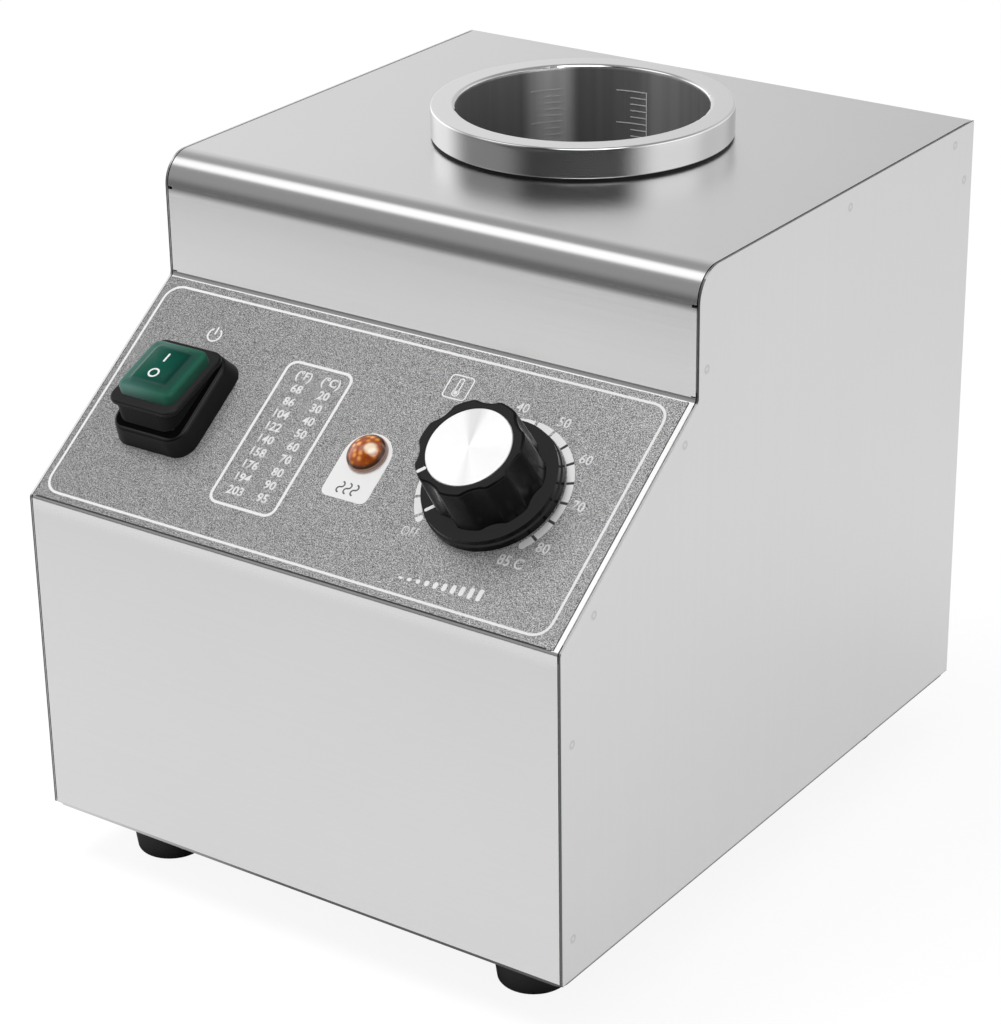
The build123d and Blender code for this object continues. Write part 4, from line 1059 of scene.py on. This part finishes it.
# %% Fold of the bellows
FOLD_SHARE = 0.2
LIP_WIDTH = 21.0
LIP_LENGTH = 25.0
LIP_LEVELS = (4.0, 4.6)
pivot_frame = local_frame(rocker_pivot, panel_out)


def bellows_fold(name, share, low, high, width, length):
    """Rounded ring of rubber, tilted by a share of the rocker's resting angle."""
    shape = bmesh.new()
    outline(shape, width, length, 5.0, 3.2, (0, 0, low))
    thicken(shape, high - low)
    rim = [edge for edge in shape.edges if edge.calc_face_angle(0) > 1.0]
    bmesh.ops.bevel(
        shape, geom=rim, offset=0.2, offset_type="OFFSET", affect="EDGES", segments=3, profile=0.5,
        material=-1,
    )
    tilted = pivot_frame @ Matrix.Rotation(-share * rocker_tilt, 4, "X")
    piece = new_piece(name, shape, tilted, boot_black, None, smooth=True)
    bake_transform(piece)
    return piece


boot_lip = bellows_fold("boot_lip", FOLD_SHARE, *LIP_LEVELS, LIP_WIDTH, LIP_LENGTH)
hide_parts("switch_boot")

# %% [markdown]
# The bellows' skirt lies on the bezel, near black and dull, and leaves a thin rim free: it is painted
# shade that stands for the dark hollow of the bezel round the bellows. The wall over the fold is a
# wedge from the top of the fold up to just under the rocker's flange. A neck under the rocker's
# flange ends the bellows.

# %% Skirt, wall and neck of the bellows
SKIRT_INSET = 2.7
WALL_WIDTH = 22.8
WALL_LENGTH = 29.2
WALL_GAP = 0.05
NECK_WIDTH = 17.2
NECK_LENGTH = 18.6
NECK_DEPTH = 2.7
neck_top = measured("switch_boot", rocker)[1].z
bezel_low, bezel_high = measured("switch_housing", pivot_frame)
bezel_top = bezel_high.z

# Painted shade: a near-black dull sheet over the hollow of the bezel.
skirt = bmesh.new()
skirt_size = bezel_high - bezel_low - Vector((2, 2, 0)) * SKIRT_INSET
outline(skirt, skirt_size.x, skirt_size.y, 3.5, 3.0, (0, 0, bezel_top))
thicken(skirt, 0.1)
boot_skirt_shade = new_piece("boot_skirt_shade", skirt, pivot_frame, skirt_shade_black, "cabinet")

wall = bmesh.new()
rounded_face(wall, WALL_WIDTH, WALL_LENGTH, 4.5)
thicken(wall, 1.0)
lower = [vertex for vertex in wall.verts if vertex.co.z < 0.5]
upper = [vertex for vertex in wall.verts if vertex.co.z > 0.5]
for end, share, level in ((lower, FOLD_SHARE, LIP_LEVELS[1]), (upper, 1.0, neck_top - WALL_GAP)):
    bmesh.ops.translate(wall, vec=(0, 0, level - end[0].co.z), verts=end)
    turn = Matrix.Rotation(-share * rocker_tilt, 3, "X")
    bmesh.ops.rotate(wall, cent=(0, 0, 0), matrix=turn, verts=end)
boot_wall = new_piece("boot_wall", wall, pivot_frame, boot_black, "cabinet", smooth=True)
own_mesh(boot_wall)

neck = bmesh.new()
rounded_face(neck, NECK_WIDTH, NECK_LENGTH, 3.0, (0, 0, neck_top - NECK_DEPTH))
thicken(neck, NECK_DEPTH)
boot_neck = new_piece("boot_neck", neck, rocker, boot_black, "rocker")
print("rocker flange underside at", neck_top)

# %% [markdown]
# The pilot lamp is a moulded dome on a thin flange. Its half profile is spun about the lamp's axis: a
# short wall and then an arc, so that the dome catches the light as the real one does.

# %% Pilot lamp
FLANGE_RISE = 0.7
DOME_WALL = 0.6
CROWN_STEPS = 12
dome_radius = lamp_radius - 0.3
lamp_rise = lamp_high.z - lamp_low.z
crown = lamp_rise - FLANGE_RISE - DOME_WALL


def spun(profile, steps=48):
    """Solid of turning from a profile of (radius, height) points."""
    shape = bmesh.new()
    points = [shape.verts.new((radius, 0, height)) for radius, height in profile]
    edges = [shape.edges.new(pair) for pair in zip(points, points[1:])]
    bmesh.ops.spin(
        shape, geom=points + edges, cent=(0, 0, 0), axis=(0, 0, 1), angle=math.tau, steps=steps,
        use_merge=True,
    )
    bmesh.ops.remove_doubles(shape, verts=shape.verts[:], dist=0.001)
    outwards(shape)
    return shape


crown_radius = (dome_radius**2 + crown**2) / (2 * crown)
crown_turn = math.asin(dome_radius / crown_radius)
dome_profile = [
    (0, 0), (lamp_radius, 0), (lamp_radius, FLANGE_RISE * 0.6), (lamp_radius - 0.1, FLANGE_RISE),
    (dome_radius + 0.1, FLANGE_RISE), (dome_radius, FLANGE_RISE + 0.1),
]
for step in range(CROWN_STEPS + 1):
    turn = crown_turn * (1 - step / CROWN_STEPS)
    height = lamp_rise - crown_radius * (1 - math.cos(turn))
    dome_profile.append((crown_radius * math.sin(turn), height))
dome_shape = spun(dome_profile)
dome = new_piece("lamp_dome", dome_shape, lamp_place, amber_plastic, "cabinet", smooth=True)
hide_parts("lamp_lens")
print("lamp crown", crown)

# %% [markdown]
# Etched strokes inside the well show how full it is. Each is a short edge spun a few degrees about
# the well's axis, a hair's breadth in front of the wall, and every fifth one is longer.

# %% Scale in the well
ETCH_RADIUS = well_radius - 0.00006
STROKE = 0.00035
STROKE_PITCH = 0.0022
STROKES = 9
BEARINGS = (133.5, 92.5)
scale_top = collar_high.z - 0.008


def etched_arc(shape, start, sweep, low, high):
    """Patch of the well's wall from a start angle through a sweep, between two heights."""
    turn = math.radians(start)
    foot = Vector((ETCH_RADIUS * math.cos(turn), ETCH_RADIUS * math.sin(turn), 0))
    ends = [shape.verts.new(foot + Vector((0, 0, height))) for height in (low, high)]
    edge = shape.edges.new(ends)
    bmesh.ops.spin(
        shape, geom=ends + [edge], cent=(0, 0, 0), axis=(0, 0, 1), angle=math.radians(sweep), steps=6
    )


etched = bmesh.new()
for bearing in BEARINGS:
    for step in range(STROKES):
        height = scale_top - step * STROKE_PITCH
        etched_arc(etched, bearing, 15.0 if step % 5 == 0 else 8.0, height - STROKE, height)
etched_arc(etched, BEARINGS[1] - 0.6, 0.5, scale_top - STROKES * STROKE_PITCH, scale_top)
outwards(etched)
bmesh.ops.solidify(etched, geom=etched.faces[:], thickness=0.00004)
etched_steel = moulded_finish("etched_steel", (0.8, 0.8, 0.8), 0.6, 4000.0, 0.1)
on_axis = Matrix.Translation((well_axis.x, well_axis.y, 0))
new_piece("well_scale", etched, on_axis, etched_steel, "cabinet")
print("etched strokes", STROKES * len(BEARINGS))

# %% [markdown]
# The collar's lip is rolled over in a small round, and that round draws a fine line of light. The
# solid's lip has flat facets that would break the line into dots, so a thin ring with many more steps
# lies over it: one closed profile, spun about the well's axis.

# %% Rolled lip of the collar
LIP_ROUND = 0.8
LIP_SKIN = 0.03
LIP_STEPS = 10
LIP_DEPTH = 3.0
collar_radius = (collar_high.x - collar_low.x) / 2 / MM
lip_profile = [(collar_radius + LIP_SKIN, -LIP_DEPTH)]
for step in range(LIP_STEPS + 1):
    turn = math.pi / 2 * step / LIP_STEPS
    across = collar_radius - LIP_ROUND + (LIP_ROUND + LIP_SKIN) * math.cos(turn)
    lip_profile.append((across, LIP_ROUND * (math.sin(turn) - 1)))
lip_profile += [(collar_radius - LIP_ROUND, -0.3), (collar_radius - 0.3, -LIP_DEPTH), lip_profile[0]]
lip_place = Matrix.Translation((well_axis.x, well_axis.y, collar_high.z)) @ Matrix.Scale(MM, 4)
lip_ring = spun(lip_profile, 240)
new_piece("collar_lip", lip_ring, lip_place, well_steel, "cabinet", smooth=True)
print("collar lip at radius", collar_radius)

# %% [markdown]
# The camera stands where the photographer stood: to the right of the machine's front, a little above
# it, with a long lens. Its roll of less than a degree is part of the picture.

# %% Camera
EYE = Vector((0.536459, -0.777504, 0.529608))
SIGHT = Vector((-0.52447, 0.74275, -0.41623)).normalized()
ROLL = math.radians(0.877)
lens = bpy.data.cameras.new("camera")
lens.lens = 111.11
lens.sensor_width = 36.0
lens.clip_start = 0.05
lens.clip_end = 20.0
camera = linked("camera", lens)
camera.location = EYE
camera.rotation_mode = "QUATERNION"
camera.rotation_quaternion = SIGHT.to_track_quat("-Z", "Y") @ Quaternion((0, 0, 1), -ROLL)
bpy.context.scene.camera = camera

# %% [markdown]
# A studio for polished steel is mostly about what the steel can see. The floor and the side walls are
# white, the ceiling is grey, and the side of the room behind the camera is dim: that dim side is the
# dark band along the round edge and in the collar. Two round white sheets hang above: the left one is
# the long highlight on the round edge, the front one the glint on the pilot lamp and on the knob's
# edges. The world's colour does all of it, from the direction of the ray. Mirrored rays see that room;
# everything else gets an even, softer light from it. Rays straight from the camera see plain white.

# %% World
AMBIENT = 0.46
BACK_WALL = 0.74
SIDE_WALLS = (
    # from and to a share of the way to the right, and the level reached there
    (-0.36, -0.64, 1.0), (-0.75, -0.9, 1.7), (-0.1, 0.3, 1.1), (0.6, 0.85, 1.5),
)
SHEETS = (
    # bearing, elevation, inner and outer angle of the soft edge, level
    (-66.8, 55.2, 9.5, 18, 1.65), (42, 65, 15, 23, 3.4),
)


def bearing_way(bearing, elevation):
    """Direction from the machine; the bearing runs from the front to the right."""
    turn, rise = math.radians(bearing), math.radians(elevation)
    return Vector((math.sin(turn) * math.cos(rise), -math.cos(turn) * math.cos(rise), math.sin(rise)))


def make_world():
    """White walls left and right, grey back and ceiling, dim front; plain white for the camera."""
    world = bpy.data.worlds.new("studio")
    bpy.context.scene.world = world
    world.use_nodes = True
    tree = world.node_tree
    looking = coordinates(tree, "Generated")
    across, ahead, rise = axes(looking)
    wall = BACK_WALL
    for start, end, level in SIDE_WALLS:
        wall = mixed(smooth_range(across, start, end), wall, level)
    wall = mixed(smooth_range(rise, 0.4, 0.8), wall, 0.42)
    dim = mixed(smooth_range(across, -0.5, -0.05), 0.4, 0.06)
    dim = mixed(smooth_range(rise, 0.3, -0.3), dim, 0.1)
    room = mixed(smooth_range(ahead, 0.05, -0.5), wall, dim)
    for bearing, elevation, inner, outer, level in SHEETS:
        near = vector_calc("DOT_PRODUCT", looking, bearing_way(bearing, elevation))
        limits = (math.cos(math.radians(angle)) for angle in (outer, inner))
        room = mixed(smooth_range(near, *limits), room, level)
    path = add(tree, "LightPath").outputs
    mirrored = calc("MAXIMUM", path["Is Glossy Ray"], path["Is Transmission Ray"])
    lit = mixed(mirrored, AMBIENT, room)
    feed(tree.nodes["Background"], Color=mixed(path["Is Camera Ray"], lit, 1.0))


make_world()

# %% [markdown]
# One soft box high on the left lights the machine and makes the soft shadows. Mirrored rays pass it
# by, because the white sheets already stand for it.

# %% Soft box
BOX_SIZE = 0.7
BOX_LEVEL = 8.8
BOX_DISTANCE = 1.3
AIM = Vector((0, 0, 0.12))
box_way = bearing_way(-55, 66)
light = bpy.data.lights.new("left_box", "AREA")
light.shape = "ELLIPSE"
light.size = BOX_SIZE
light.size_y = BOX_SIZE
light.energy = BOX_LEVEL * (math.pi * BOX_SIZE / 2) ** 2
left_box = linked("left_box", light)
left_box.location = AIM + box_way * BOX_DISTANCE
left_box.rotation_mode = "QUATERNION"
left_box.rotation_quaternion = box_way.to_track_quat("Z", "Y")
left_box.visible_glossy = False

# %% [markdown]
# The floor is pale paper that glows a little, less for the steel than for the camera, so that it comes
# out white and still keeps a faint shadow. Under the machine the glow stops, a painted shadow that
# draws the dark line along the cabinet's lower bends. The floor ends not far in front of the machine,
# and beyond it the steel sees the dim side of the room.

# %% Floor
FLOOR_FRONT = -0.575
FLOOR_BACK = 6.0
FLOOR_HALF = 6.0
SHADE_EDGE = 0.02


def paper_finish():
    """Pale paper with a glow that stops under the machine, as a painted shadow."""
    material, tree, shader = new_finish(
        "floor_paper", (0.35, 0.35, 0.35), 0.9, Specular_IOR_Level=0.0, Emission_Strength=1.0
    )
    straight = add(tree, "LightPath").outputs["Is Camera Ray"]
    # Painted shadow: the glow stops over the machine's footprint.
    under = 1.0
    for place, low, high in zip(axes(coordinates(tree)), far_side_low[:2], side_high[:2]):
        half = (high - low) / 2
        beside = calc("ABSOLUTE", calc("SUBTRACT", place, (low + high) / 2))
        under = calc("MULTIPLY", under, smooth_range(beside, half, half - SHADE_EDGE))
    glow = mixed(under, 0.7, 0.0)
    feed(
        shader, Base_Color=mixed(straight, 0.35, 0.15),
        Emission_Color=mixed(straight, glow, 0.9),
    )
    return material


shape = bmesh.new()
bmesh.ops.create_grid(shape, x_segments=1, y_segments=1, size=0.5)
bmesh.ops.scale(shape, vec=(2 * FLOOR_HALF, FLOOR_BACK - FLOOR_FRONT, 1), verts=shape.verts[:])
bmesh.ops.translate(shape, vec=(0, (FLOOR_FRONT + FLOOR_BACK) / 2, 0), verts=shape.verts[:])
floor_mesh = bpy.data.meshes.new("floor")
shape.to_mesh(floor_mesh)
shape.free()
floor_mesh.materials.append(paper_finish())
floor = linked("floor", floor_mesh)

# %% [markdown]
# In the picture the riser behind the controls is an even grey: its satin face does not mirror them.
# Rays mirrored by the steel therefore pass by the switch and the knob.

# %% Mirrored rays
solid_controls = ("switch_housing", "rocker_frame", "knob_grip", "knob_disc", "thermostat_shaft")
controls = [nodes[name] for name in solid_controls]
controls += [rocker_cap, rocker_marks, boot_lip, boot_wall, boot_skirt_shade, boot_neck, top_pointer, skirt_pointer]
for control in controls:
    control.visible_glossy = False
print("controls left out of mirrored rays", len(controls))

# %% [markdown]
# The picture is shown with the plain standard transform, so a colour comes out as it is written.

# %% Finish
bpy.context.scene.view_settings.view_transform = "Standard"
